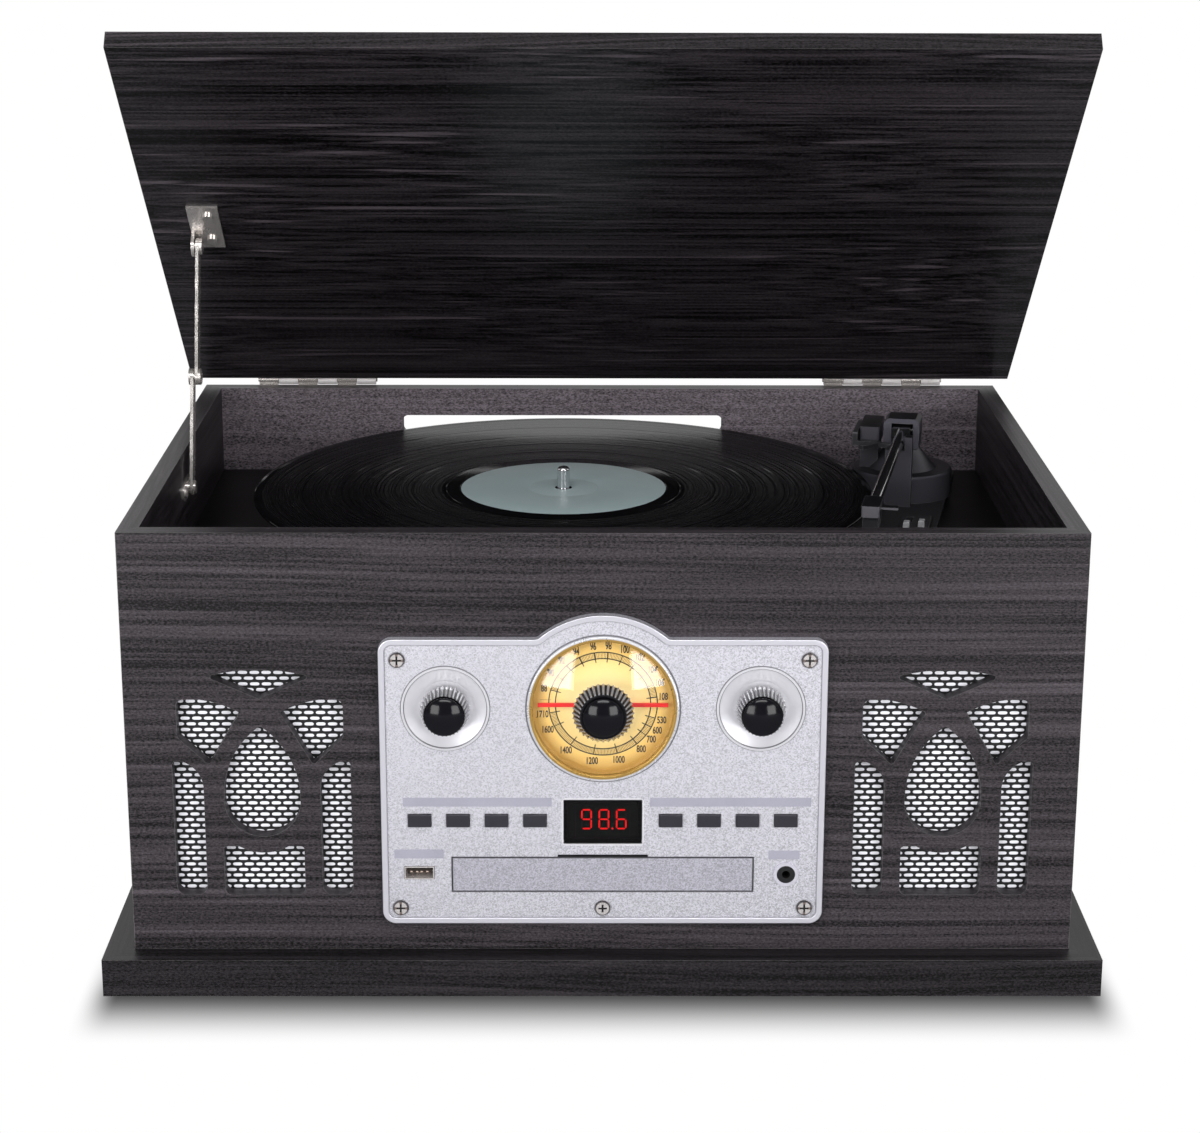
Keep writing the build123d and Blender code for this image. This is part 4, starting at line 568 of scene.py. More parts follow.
# %% The sparkle group and the lacquer
sparkle, given, gives = group(
    "metal flakes", dict(Place=None, Scale=2100.0), dict(Flake="Float", Normal="Vector")
)
cells = outs(node_in(sparkle, "TexVoronoi", Vector=given["Place"], Scale=given["Scale"]))["Color"]
wire(Out(node_in(sparkle, "SeparateColor", Color=cells).outputs[0]), gives["Flake"])
lean = vectors("SCALE", vectors("SUBTRACT", cells, (0.5, 0.5, 0.5)), Scale=0.18)
tilted = vectors("ADD", lean, outs(node_in(sparkle, "NewGeometry"))["Normal"])
wire(vectors("NORMALIZE", tilted), gives["Normal"])


def lacquer(name, tone):
    """Silver lacquer: flakes, a slow cloud, and a little more light towards the top."""
    material, shader, place = finish_of(name, Metallic=0.55, Specular_IOR_Level=0.5, Roughness=0.42)
    flakes = use(sparkle, place)
    cloudy = ramp(noise(place, 35.0, 3.0), 0.3, 0.7)
    to_top = ramp(axes(place)[2], spot(0, 0, 20)[2], spot(0, 0, 130)[2])
    level = flakes["Flake"] * 0.5 + cloudy * 0.02 + to_top * 0.08 + 0.58
    feed(shader, Base_Color=mixed(level, (0.0, 0.0, 0.0), tone), Normal=flakes["Normal"])
    return material


print("sparkle group:", len(sparkle.nodes), "nodes")

# %% [markdown]
# ## Where things are on the panel
#
# The bead round the panel and the dishes under the knobs are smooth and brighter. Thin dark lines of painted
# shade run at the foot of the dial's bezel, at the feet of each dish's ring, on the bead's slopes and along
# other edges of the panel. A thin dark line also runs round the display window. All of that is told from the
# place of a point: how far it lies from the middle of a dial or a knob, and how deep it lies behind the
# panel's face.

# %% The panel and the tray's door
dial_x, dial_high = 0.0, 132.6
dish_x, dish_high, dish_radius = 69.0, 132.7, 19.6
window_high, window_half = 79.7, (0.0162, 0.0092)
window_bright, window_line = (0.0021, 0.0019), (0.0013, 0.0011)


def how_far(place, across, high):
    """How far a point lies from a spot on the panel's face, in metres."""
    x, _, z = spot(across, 0, high)
    return vectors("DISTANCE", vectors("MULTIPLY", place, (1, 0, 1)), (x, 0, z))


def near(place, across, high, reach, soft=0.4):
    """1 within a reach in millimetres of a spot on the panel's face, and 0 outside."""
    return ramp(how_far(place, across, high), (reach + soft) / 1000, (reach - soft) / 1000)


def angle_round(place, across, high):
    """The angle of a point round a spot on the panel's face, in radians."""
    centre = spot(across, 0, high)
    x, _, z = axes(place)
    return (z - centre[2]).step("ARCTAN2", x - centre[0])


def circle_line(place, across, high, radius, outer, inner):
    """A thin circle: full within inner millimetres of the radius, gone at outer."""
    off = abs(how_far(place, across, high) - radius / 1000)
    return ramp(off, outer / 1000, inner / 1000)


panel = lacquer("silver lacquer", (0.84, 0.83, 0.9))
shader, place, shade = opened(panel)
x, y, z = axes(place)
rim = ramp(y, front_y - 0.00303, front_y - 0.00309)
dishes = near(place, -dish_x, dish_high, dish_radius, 0.2) | near(place, dish_x, dish_high, dish_radius, 0.2)
smooth = rim | dishes
# Painted shade: a thin dark line round the foot of the dial's bezel, and below it two lines at the feet of
# each dish's ring.
lines = circle_line(place, dial_x, dial_high, 33.7, 0.6, 0.2)
for across in (-dish_x, dish_x):
    for radius in (19.55, 18.2):
        lines |= circle_line(place, across, dish_high, radius, 0.28, 0.08)
# Painted shade where the bead's face turns away from the front.
lines |= ramp(facing(place)[1] + 1.0, 0.05, 0.6) * rim * 0.75
# Painted shade along the other edges of the panel, off the bead.
lines |= use(edge, place, Radius=0.0011)["Edge"] * (0.6 - rim * 0.6)
shade = mixed(smooth, shade, (0.8148, 0.8051, 0.873))
shade = mixed(dishes, shade, (0.93, 0.92, 0.97))
beside_x = (abs(x) - window_half[0]) | 0.0
beside_z = (abs(z - spot(0, 0, window_high)[2]) - window_half[1]) | 0.0
off_window = (beside_x * beside_x + beside_z * beside_z).step("SQRT")
shade = mixed(ramp(off_window, *window_bright), shade, (0.97, 0.96, 1.0))
lines |= ramp(off_window, *window_line)
well = near(place, dial_x, dial_high, 32.4, 0.1) * ramp(y, front_y - 0.0029, front_y - 0.0027)
shade = mixed(well, shade, (0.62, 0.4, 0.11))
# The lines go on dark: the painted shade, and the line round the display window.
shade = mixed(lines * 0.75, shade, (0.03, 0.03, 0.035))
flake_normal = Out(shader.inputs["Normal"].links[0].from_socket)
face_normal = outs(node_in(place.tree, "NewGeometry"))["Normal"]
normal = mixed_vectors(smooth, flake_normal, face_normal)
feed(shader, Base_Color=shade, Roughness=smooth * -0.1 + 0.42, Normal=normal)
dress(panel, "front_panel")

door = lacquer("silver lacquer on the door", (0.66, 0.65, 0.73))
shader, place, shade = opened(door)
x, _, z = axes(place)
low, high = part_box("tray_door")
half, middle = (high - low) / 2, (high + low) / 2
# Painted shadow: the door's face goes dark within about half a millimetre of its edges, where the gap round
# it lies in shade.
to_edge = (half.x - abs(x - middle.x)).step("MINIMUM", half.z - abs(z - middle.z))
feed(shader, Base_Color=mixed(ramp(to_edge, 0.0006, 0.0002) * 0.8, shade, (0.05, 0.05, 0.055)))
dress(door, "tray_door")
print("panel dressed")

# %% [markdown]
# ## Metals
#
# Hinges and stay are nickel on steel and slightly dulled, screws are zinc, and the rings round the dial and
# the sockets are bright. They share one group: a fine brushing, with a slow cloud of handling marks that
# changes the gloss more than the colour. The screws at the panel's corners are polished, and the dark arms
# of a cross on their heads are a painted reflection of the dark room. On every screw, a dark ring round the
# head and the darker recess are painted shade.

# %% The metal group and its finishes
brushed, given, gives = group(
    "brushed metal",
    dict(Place=None, Stretch=(1, 1, 1), Rough=0.25),
    dict(Shade="Float", Roughness="Float", Height="Float"),
)
lines = noise(vectors("MULTIPLY", given["Place"], given["Stretch"]), 900.0, 3.0, 0.6)
marks = ramp(noise(given["Place"], 90.0, 4.0, 0.6), 0.35, 0.75)
wire(lines * 0.24 + 0.84, gives["Shade"])
wire(lines * 0.08 + (marks * 0.12 + given["Rough"]), gives["Roughness"])
wire(lines, gives["Height"])


def metal_finish(name, colour, rough=0.25, stretch=(1, 1, 1), bump=0.08, metallic=1.0):
    """A metal with fine brushing; stretch draws the brushing out along an axis."""
    material, shader, place = finish_of(name, Metallic=metallic)
    look = use(brushed, place, Stretch=stretch, Rough=rough)
    feed(shader, Base_Color=scaled(colour, look["Shade"]), Roughness=look["Roughness"])
    if bump:
        relief(shader, look["Height"], bump)
    return material


nickel = metal_finish("bright nickel", (0.86, 0.8, 0.76), 0.14, (0.1, 1, 1), metallic=0.8)
dress(nickel, "hinge_cabinet_leaves")
dull = metal_finish("dull nickel", (0.92, 0.88, 0.88), 0.5, (1, 0.3, 1), metallic=0.3)
dress(dull, "hinge_lid_leaves")
stay = metal_finish("stay nickel", (0.8, 0.76, 0.73), 0.14, (1, 0.12, 1), 0.0, 0.8)
dress(stay, "stay_wall_bracket", "stay_lower_link", "stay_upper_link", "stay_lid_bracket")
dress(metal_finish("polished spindle", (0.78, 0.78, 0.8), 0.08, bump=0), "spindle")
dress(metal_finish("turned brass", (0.8, 0.6, 0.28), 0.22, (1, 1, 0.1)), "motor_pulley")
dress(metal_finish("cast aluminium", (0.6, 0.6, 0.62), 0.38), "platter")
dress(metal_finish("motor can", (0.55, 0.55, 0.56), 0.3, (1, 1, 0.1)), "platter_motor", "rotary_controls")

zinc = metal_finish("zinc screws", (1.0, 0.95, 0.93), 0.16)
shader, place, tint = opened(zinc)
y = axes(place)[1]
middle_screw, corner_screws = (0.0, 38.7), ((-89.8, 155.0), (89.8, 155.0), (-90.0, 38.8), (90.0, 38.8))
reach, painted_cross_reflection = how_far(place, *middle_screw), 0.0
# Painted reflection: dark arms of a cross on each corner screw's head, as if the polish mirrored the dark
# room.
for across, high in corner_screws:
    reach = reach.step("MINIMUM", how_far(place, across, high))
    arms = ramp(abs((angle_round(place, across, high) * 2.0).step("SINE")), 0.62, 0.3)
    painted_cross_reflection = arms * near(place, across, high, 3.3) | painted_cross_reflection
tint = mixed(painted_cross_reflection * 0.8, tint, (0.16, 0.09, 0.07))
on_panel = y.step("LESS_THAN", front_y - 0.0029)
# Painted shade: a dark ring round the rim of each screw's head.
tint = mixed(ramp(reach, 0.0027, 0.0031) * on_panel * 0.85, tint, (0.03, 0.025, 0.025))
# Painted shade: the cross recess and the head's sides near the panel go darker.
recess = ramp(y, front_y - 0.00392, front_y - 0.0036) * on_panel
feed(shader, Base_Color=mixed(recess, tint, (0.05, 0.045, 0.045)), Metallic=0.7)
dress(zinc, "screws")

bezel = metal_finish("dial ring", (0.92, 0.92, 0.95), 0.22, bump=0)
shader, place, tint = opened(bezel)
gilt = near(place, dial_x, dial_high, 32.35, 0.12)
feed(shader, Base_Color=mixed(gilt, tint, (0.55, 0.34, 0.09)), Metallic=0.6)
dress(bezel, "dial_bezel")
print("metals dressed")

# %% [markdown]
# ## Plastics, rubber and boards
#
# Moulded plastic is never quite one colour or one gloss: it carries a fine spark-eroded texture
# from the mould, and dust and fingers dull it in patches. One group gives these, and each plastic
# sets its own strength.

# %% The plastic group and its finishes
moulded, given, gives = group(
    "moulded plastic",
    dict(Place=None, Scale=2600.0, Rough=0.35, Dust=0.3),
    dict(Shade="Float", Roughness="Float", Height="Float"),
)
tooth = noise(given["Place"], given["Scale"])
dusty = ramp(noise(given["Place"], 45.0, 5.0, 0.6), 0.4, 0.8) * given["Dust"]
wire(tooth * 0.3 + (dusty + 0.85), gives["Shade"])
wire(tooth * 0.06 + (dusty * 0.25 + given["Rough"]), gives["Roughness"])
wire(tooth, gives["Height"])


def plastic_finish(name, colour, rough=0.35, scale=2600.0, dust=0.3, bump=0.12, pale_edges=0.0, coat=0.0):
    """A moulded plastic; pale_edges lightens its edges, coat gives a lacquer's second shine."""
    material, shader, place = finish_of(name, Coat_Weight=coat)
    look = use(moulded, place, Scale=scale, Rough=rough, Dust=dust)
    shade = scaled(colour, look["Shade"])
    if pale_edges:
        shade = mixed(use(edge, place, Radius=0.0004)["Edge"] * pale_edges, shade, (0.3, 0.3, 0.32))
    feed(shader, Base_Color=shade, Roughness=look["Roughness"])
    relief(shader, look["Height"], bump)
    return material


def moulded_arm(name, top, front):
    """Tonearm plastic: painted shade on the dark tops and painted light on the paler fronts, told apart by
    the normal.
    """
    # The pale edges here are a painted highlight.
    material = plastic_finish(name, (1.0, 1.0, 1.0), 0.3, 1800.0, dust=0.1, pale_edges=0.6)
    shader, place, _ = opened(material)
    _, y, z = facing(place)
    shade = mixed(ramp(y * -1.0, 0.2, 0.6), (0.02, 0.02, 0.024), front)
    wire(mixed(ramp(z, 0.85, 0.97), shade, top), material.node_tree.nodes["Vector Math"].inputs[0])
    feed(shader, Specular_IOR_Level=0.35)
    return material


dress(plastic_finish("black rubber", (0.02, 0.02, 0.02), 0.75), "feet", "platter_mat", "drive_belt")
dress(plastic_finish("chassis plastic", (0.018, 0.017, 0.019), 0.42, 900.0, pale_edges=0.5), "chassis_plate")
# The pale edges of the cartridge and cue lever are a painted highlight.
arm_black = plastic_finish("tonearm plastic", (0.03, 0.03, 0.034), 0.3, 1800.0, pale_edges=0.8)
dress(arm_black, "cartridge", "cue_lever")
# For each arm part, the first colour is the painted shade of its tops and the second is the painted light on
# its fronts.
dress(moulded_arm("gimbal plastic", (0.008, 0.008, 0.01), (0.09, 0.086, 0.105)), "gimbal_block")
dress(moulded_arm("arm base plastic", (0.008, 0.008, 0.01), (0.06, 0.057, 0.068)), "arm_base")
dress(moulded_arm("headshell plastic", (0.006, 0.006, 0.008), (0.14, 0.135, 0.15)), "headshell")
dress(plastic_finish("gloss arm tube", (0.012, 0.012, 0.013), 0.1, coat=0.8), "arm_tube")
key_finish = plastic_finish("key plastic", (0.024, 0.0225, 0.031), 0.34, dust=0.2, pale_edges=0.5)
dress(key_finish, *[f"key_{number}" for number in range(1, 9)])
dress(plastic_finish("dark plastic", (0.02, 0.02, 0.022), 0.4), "rear_jack_plate", "cd_tray", "disc_hub")
dress(plastic_finish("drive case", (0.035, 0.035, 0.037), 0.5), "drive_case")
dress(plastic_finish("switch plastic", (0.4, 0.4, 0.41), 0.3), "speed_selector", "stop_switch")
dress(plastic_finish("speaker paint", (0.012, 0.012, 0.012), 0.5), "speakers", "speaker_cloths")
dress(plastic_finish("circuit board", (0.02, 0.11, 0.045), 0.35, 400.0), "control_board", "main_board")
dress(plastic_finish("red needle", (0.72, 0.006, 0.006), 0.3), "dial_pointer")

socket_finish = plastic_finish("socket black and silver", (0.012, 0.012, 0.013), 0.3)
shader, place, tint = opened(socket_finish)
feed(shader, Base_Color=mixed(near(place, 81.5, 55.0, 4.1, 0.1), (0.5, 0.49, 0.55), tint))
dress(socket_finish, "aux_socket")
print("plastics dressed")

# %% [markdown]
# ## Thin prints and small solids
#
# Lines, numbers and lit segments lie on flat faces that look to the front. They could be an image,
# but it would blur close up. Here each is a very thin closed solid, so it stays sharp, and rides
# with its body. One function lifts any set of flat outlines from a face; another sets numbers.


# %% Flat outlines and numbers
def prisms(name, outlines, front, thick=0.06):
    """Thin solids on a face that looks to the front.

    outlines[piece, corner, (across, high)] stand on the depth front and rise by thick."""
    outlines = np.asarray(outlines, float)
    count, corners = outlines.shape[:2]
    depths = np.array([front, front - thick])[None, :, None]
    points = spots(outlines[:, None, :, 0], depths, outlines[:, None, :, 1])
    index = np.arange(count * 2 * corners).reshape(count, 2, corners)
    after = np.roll(index, -1, axis=2)
    sides = np.stack([index[:, 0], after[:, 0], after[:, 1], index[:, 1]], axis=-1).reshape(-1, 4)
    faces = index[:, 0, ::-1].tolist() + index[:, 1].tolist() + sides.tolist()
    return tidy_mesh(mesh_piece(name, points.reshape(-1, 3), faces), 20)


def bars(across, high, long, wide, turn):
    """Outlines of bars: each has a middle, a length, a width and a clock angle in degrees."""
    across, high, long, wide, turn = np.broadcast_arrays(across, high, long, wide, np.radians(turn))
    ends = np.array([(-1, -1), (-1, 1), (1, 1), (1, -1)])[::-1] / 2
    forth = long[:, None] * ends[:, 0]
    aside = wide[:, None] * ends[:, 1]
    x = across[:, None] + np.sin(turn)[:, None] * forth + np.cos(turn)[:, None] * aside
    z = high[:, None] + np.cos(turn)[:, None] * forth - np.sin(turn)[:, None] * aside
    return np.stack([x, z], axis=-1)


def numbers(name, items, tall, narrow, bold, front, thick=0.06):
    """Upright numbers as thin solids; items are (text, across, high), narrow squeezes their width."""
    work = bmesh.new()
    for text, across, high in items:
        curve = bpy.data.curves.new("number", "FONT")
        curve.body, curve.size, curve.offset, curve.extrude = text, 1.0, bold, 0.5
        curve.align_x, curve.align_y = "CENTER", "CENTER"
        holder = bpy.data.objects.new("number", curve)
        mesh = bpy.data.meshes.new_from_object(holder)
        corners = np.empty(len(mesh.vertices) * 3)
        mesh.vertices.foreach_get("co", corners)
        low, top = corners[1::3].min(), corners[1::3].max()
        left, far = corners[0::3].min(), corners[0::3].max()
        size = tall / (top - low) / 1000
        wide = size * narrow
        middle = spot(across, front - thick / 2, high)
        across_row = (wide, 0, 0, middle[0] - wide * (left + far) / 2)
        depth_row = (0, 0, -thick / 1000, middle[1])
        height_row = (0, size, 0, middle[2] - size * (low + top) / 2)
        mesh.transform(Matrix((across_row, depth_row, height_row, (0, 0, 0, 1))))
        work.from_mesh(mesh)
        bpy.data.meshes.remove(mesh)
        bpy.data.objects.remove(holder)
    mesh = bpy.data.meshes.new(name)
    work.to_mesh(mesh)
    work.free()
    piece = bpy.data.objects.new(name, mesh)
    bpy.context.scene.collection.objects.link(piece)
    return tidy_mesh(piece, 20)


def ring(name, radius, wide, thick, middle):
    """A flat ring that faces the front: a small rectangle turned round the axis."""
    inner, outer = radius - wide / 2, radius + wide / 2
    profile = [(inner, 0), (outer, 0), (outer, thick), (inner, thick), (inner, 0)]
    return lathe(name, profile, middle, "front", 144)


print("print helpers ready")

# %% [markdown]
# ## The radio dial
#
# Behind a clear dome lies a gilded plate with a print in black: two rings, fine ticks between them and the
# numbers of two wave bands. The plate is pale warm gold in its middle and turns brown to the rim, which is a
# colour ramp on the distance from the dial's middle. The same colour also glows faintly, and that glow is
# painted light. Two tables give the clock angle of each number, and the ticks, the rings and the numbers all
# follow from them.

# %% The plate and its print
gold, shader, place = finish_of("gilded dial plate", Metallic=0.2, Specular_IOR_Level=0.4)
fade = node_in(place.tree, "ValToRGB", Fac=how_far(place, dial_x, dial_high) * (1000 / 31.7))
middle_gold, rim_brown = fade.color_ramp.elements
middle_gold.position, middle_gold.color = 0.0, (1.0, 0.86, 0.48, 1)
rim_brown.position, rim_brown.color = 1.0, (0.42, 0.24, 0.06, 1)
for at, shade in ((0.5, (0.97, 0.76, 0.34, 1)), (0.8, (0.86, 0.58, 0.18, 1))):
    fade.color_ramp.elements.new(at).color = shade
glow = Out(fade.outputs[0])
# The faint emission is painted light; the plate is no lamp.
feed(shader, Base_Color=glow, Emission_Color=glow, Emission_Strength=0.17)
feed(shader, Roughness=noise(place, 1800.0, 3.0) * 0.2 + 0.32)
dress(gold, "dial_plate")

upper = dict(zip(range(88, 110, 2), (-74.2, -57.8, -42.0, -25.9, -9.3, 5.0, 21.0, 37.0, 53.8, 68.2, 82.4)))
lower = {530: 106, 600: 117, 700: 127.5, 800: 141, 1000: 164.5, 1200: 190, 1400: 217, 1600: 244, 1710: 260}
number_radius, long_radius, short_radius = 26.8, 21.6, 22.35
marks = np.array([*upper.values(), *lower.values()], float)
fine = np.concatenate([np.arange(-74.2, 82.5, 1.64), np.arange(106, 260.5, 1.64)])
plate_front, clear_of_plate = 4.0, 0.03
print_front = plate_front - clear_of_plate


def on_dial(radius, turns):
    """Places on the dial at a radius and clock angles in degrees."""
    turns = np.radians(turns)
    return radius * np.sin(turns), dial_high + radius * np.cos(turns)


ink = plastic_finish("black ink", (0.02, 0.015, 0.012), 0.5, 3000.0, bump=0.02)
labels = [str(label) for label in (*upper, *lower)]
items = list(zip(labels, *on_dial(number_radius, marks)))
fit(numbers("dial_numbers", items, 3.3, 0.62, 0.025, print_front), "cabinet", "black_plastic", ink)
for label, radius in (("outer", 23.8), ("inner", 20.9)):
    piece = ring("dial_line_" + label, radius, 0.5, 0.06, (dial_x, print_front, dial_high))
    fit(piece, "cabinet", "black_plastic", ink)
long_ticks = bars(*on_dial(long_radius, marks), 4.8, 0.42, marks)
short_ticks = bars(*on_dial(short_radius, fine), 2.7, 0.17, fine)
rules = bars(np.array([-25.2, 25.2]), dial_high + 1.9, 5.0, 0.14, 90.0)
ticks = np.concatenate([long_ticks, short_ticks, rules])
fit(prisms("dial_ticks", ticks, print_front, 0.05), "cabinet", "black_plastic", ink)
print("dial:", len(items), "numbers,", len(ticks), "ticks")

# %% [markdown]
# ## The dome
#
# The dome is clear acrylic, a thin cap of a ball: from its radius and rise, the ball's radius is
# (r^2 + h^2) / 2h. Light rays that only cast shadows pass it unbent, so the plate isn't dark.

# %% The clear dome
dome, shader, place = finish_of("clear dome", Transmission_Weight=1.0, IOR=1.49, Coat_Weight=0.25)
feed(shader, Base_Color=(0.99, 0.985, 0.97), Roughness=noise(place, 70.0, 4.0) * 0.006)
through = Out(node_in(place.tree, "BsdfTransparent", Color=(0.97, 0.96, 0.94)).outputs[0])
passing = outs(node_in(place.tree, "LightPath"))["Is Shadow Ray"]
wire(blended(passing, Out(shader.outputs[0]), through), place.tree.nodes["Material Output"].inputs[0])
dome_radius, dome_rise, dome_top, wall = 30.6, 6.4, 7.9, 1.0
ball = (dome_radius**2 + dome_rise**2) / (2 * dome_rise)
radius = np.linspace(4, dome_radius, 48)
outer_rise = dome_top - ball + np.sqrt(ball**2 - radius**2)
inner, inner_rise = radius * (dome_radius - wall) / dome_radius, outer_rise - wall
profile = [*zip(inner, inner_rise), (dome_radius, 0.5), *list(zip(radius, outer_rise))[::-1]]
profile += [(inner[0], inner_rise[0])]
piece = lathe("dial_dome", profile, (dial_x, 0, dial_high), "front", 192, smooth=35)
fit(piece, "cabinet", "clear_lens", dome, "dial_lens")
print("dome:", len(piece.data.polygons), "faces")

# %% [markdown]
# ## The knobs
#
# Each knob is a gloss black moulding: a skirt of ribs that widens to the panel, a shallow groove, and a cap
# that is part of a ball. The ribs meet in sharp ridges with hollows between them, which is the radius less a
# little of |sin| of half the rib count times the angle. A lathe with that ripple gives the whole shape,
# shaft included, so no gap shows where it enters the panel. The same |sin| paints the ridges paler, which is
# a painted highlight.


# %% Ribbed knobs
def ribbed_knob(name, across, high, back, base, skirt, cap, ribs, shaft):
    """skirt is (wide radius, narrow radius, length), cap (radius, height), all in millimetres."""
    wide, narrow, long = skirt
    cap_radius, cap_tall = cap
    foot = back - base
    edge_round = arc(-90, 0, (wide - 0.5, foot + 0.5), 0.5, 4)
    top_round = arc(0, 90, (narrow - 0.5, foot + long - 0.5), 0.5, 4)
    flank = [(wide + (narrow - wide) * t, foot + 0.5 + (long - 1.0) * t) for t in (0.33, 0.66)]
    groove = [(cap_radius + 0.35, foot + long), (cap_radius + 0.2, foot + long - 0.35)]
    groove += [(cap_radius, foot + long - 0.35)]
    ball, top, brim = 15.5, foot + long + cap_tall, cap_radius - 0.5
    drop = ball - math.sqrt(ball**2 - brim**2)
    tilt = math.asin(brim / ball)
    centre = (brim - 0.5 * math.sin(tilt), top - drop - 0.5 * math.cos(tilt))
    crown = [(cap_radius, centre[1])] + arc(0, 90 - math.degrees(tilt), centre, 0.5, 6)
    inward = np.linspace(brim, 0, 14)[1:]
    crown += list(zip(inward, top - ball + np.sqrt(ball**2 - inward**2)))
    profile = [(0, 0), (shaft, 0), (shaft, foot), (wide - 1.2, foot)]
    profile += edge_round + flank + top_round + groove + crown

    def ribbing(angle, radius, rise):
        """Sharp ridges on the skirt: nothing inside the groove, full depth from there outward."""
        on_skirt = np.clip((radius - cap_radius - 0.35) / 0.5, 0, 1) * (rise > foot - 0.01)
        return radius - 0.75 * on_skirt * np.abs(np.sin(ribs * angle / 2))

    return lathe(name, profile, (across, back, high), "front", ribs * 8, ribbing, 50)


def knob_gloss(name, across, high, cap, ribs):
    """Gloss black, with a painted highlight on the ridges outside the cap: |sin| of half the rib count times
    the angle.
    """
    material = plastic_finish(name, (0.005, 0.005, 0.007), 0.09, dust=0.15, bump=0.01)
    shader, place, tint = opened(material)
    inside = near(place, across, high, cap)
    # Painted highlight: the ridges outside the cap are lightened, as if they caught the lamps.
    ridge_highlight = 1.0 - abs((angle_round(place, across, high) * (ribs / 2)).step("SINE"))
    ridge_highlight = ramp(ridge_highlight, 0.1, 0.6) * (1.0 - inside)
    feed(shader, Base_Color=mixed(ridge_highlight, tint, (0.42, 0.42, 0.43)), Specular_IOR_Level=0.3)
    feed(shader, Coat_Weight=inside * -0.8 + 0.8, Metallic=ridge_highlight * 0.4)
    return material


large = dict(base=-8.2, skirt=(13.75, 11.0, 5.8), cap=(8.85, 4.3), ribs=36, shaft=1.8)
small = dict(base=-3.9, skirt=(11.1, 9.7, 9.2), cap=(8.6, 4.2), ribs=34, shaft=2.9)
for body, sizes, gloss_reach in (("tuning", large, 10.4), ("volume", small, 9.2), ("function", small, 9.2)):
    low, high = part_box(body + "_knob")
    across, tall = (low.x + high.x) * 500, ((low.z + high.z) / 2 - under_z) * 1000
    back = (high.y - front_y) * 1000
    gloss = knob_gloss("gloss " + body + " knob", across, tall, gloss_reach, sizes["ribs"])
    piece = ribbed_knob("ribbed_" + body + "_knob", across, tall, back, **sizes)
    fit(piece, body, "knob_black", gloss, body + "_knob")
    print(piece.name, "across", round(across, 2), "high", round(tall, 2), "back", round(back, 2))

# %% [markdown]
# ## The display
#
# The frequency shows in red seven-segment digits behind a smoked window. A segment is a bar with
# pointed ends. The lit ones glow; the others are a shade paler than the window, as on the real one.

# %% Window and digits
smoked, shader, place = finish_of("smoked window", Transmission_Weight=1.0, IOR=1.45)
feed(shader, Base_Color=(0.2, 0.16, 0.17), Roughness=noise(place, 90.0, 4.0) * 0.03)
dress(smoked, "display_window")


def digit_bars(middle, high, wide, tall, thick):
    """Seven pointed bars, a to g: four upright at the corners and three level."""
    half_wide, half_tall, point, apart = (wide - thick) / 2, (tall - thick) / 2, thick / 2, 0.24
    flat = np.array([(-1, 0), (-1, -1), (1, -1), (1, 0), (1, 1), (-1, 1)], float)
    pull = np.array([0, point, -point, 0, -point, point])
    level = np.stack([flat[:, 0] * (half_wide - apart) + pull, flat[:, 1] * point], axis=-1)
    upright = np.stack([-flat[:, 1] * point, flat[:, 0] * (half_tall / 2 - apart) + pull], axis=-1)
    at = [(0, half_tall), (half_wide, half_tall / 2), (half_wide, -half_tall / 2), (0, -half_tall)]
    at += [(-half_wide, -half_tall / 2), (-half_wide, half_tall / 2), (0, 0)]
    shape = [level, upright, upright, level, upright, upright, level]
    return [bar + np.array(offset) + np.array([middle, high]) for bar, offset in zip(shape, at)]


lit, unlit = [], []
for middle, on in ((-7.2, "abcdfg"), (0.5, "abcdefg"), (8.2, "acdefg")):
    for letter, outline in zip("abcdefg", digit_bars(middle, 80.0, 4.8, 9.6, 0.72)):
        (lit if letter in on else unlit).append(outline)
circle = np.radians(np.arange(0, 360, 60))
lit.append(np.stack([4.25 + 0.5 * np.cos(circle), 75.6 + 0.5 * np.sin(circle)], axis=-1))
red, shader, place = finish_of("lit segment", Roughness=0.4, Emission_Strength=4.5)
glowing = mixed(ramp(noise(place, 2500.0), 0.2, 0.8), (0.9, 0.006, 0.006), (1.0, 0.015, 0.015))
feed(shader, Base_Color=glowing, Emission_Color=glowing)
grey = plastic_finish("unlit segment", (0.16, 0.14, 0.15), 0.4)
fit(prisms("lit_segments", lit, 0.25, 0.08), "cabinet", "pointer_red", red)
fit(prisms("unlit_segments", unlit, 0.25, 0.08), "cabinet", "window_black", grey)
upright_lines = bars(np.array([-12.05, 12.05]), 79.6, 16.6, 0.3, 0.0)
level_lines = bars(np.zeros(2), np.array([87.8, 71.4]), 24.1, 0.3, 90.0)
frame_lines = np.concatenate([upright_lines, level_lines])
fit(prisms("display_lines", frame_lines, 0.25, 0.05), "cabinet", "window_black", grey)
print("segments:", len(lit), "lit,", len(unlit), "unlit")

# %% [markdown]
# ## Bars of darker silver
#
# Four plain bars of darker silver lie on the lacquer, over the keys and over the two sockets. Each is
# given as (left, right, bottom, top).

# %% The four bars
key_spans = [(-88.2, -22.6, 87.0, 91.1), (20.9, 92.0, 87.0, 91.1)]
socket_spans = [(-92.4, -70.6, 62.4, 66.6), (73.6, 87.4, 62.0, 66.1)]
spans = np.array(key_spans + socket_spans)
outlines = np.stack([spans[:, [0, 1, 1, 0]], spans[:, [2, 2, 3, 3]]], axis=-1)
caption = plastic_finish("caption silver", (0.33, 0.325, 0.39), 0.35, 2200.0, dust=0.1)
fit(prisms("caption_bars", outlines, -3.0, 0.08), "cabinet", "panel_silver", caption)
print("caption bars:", len(spans))

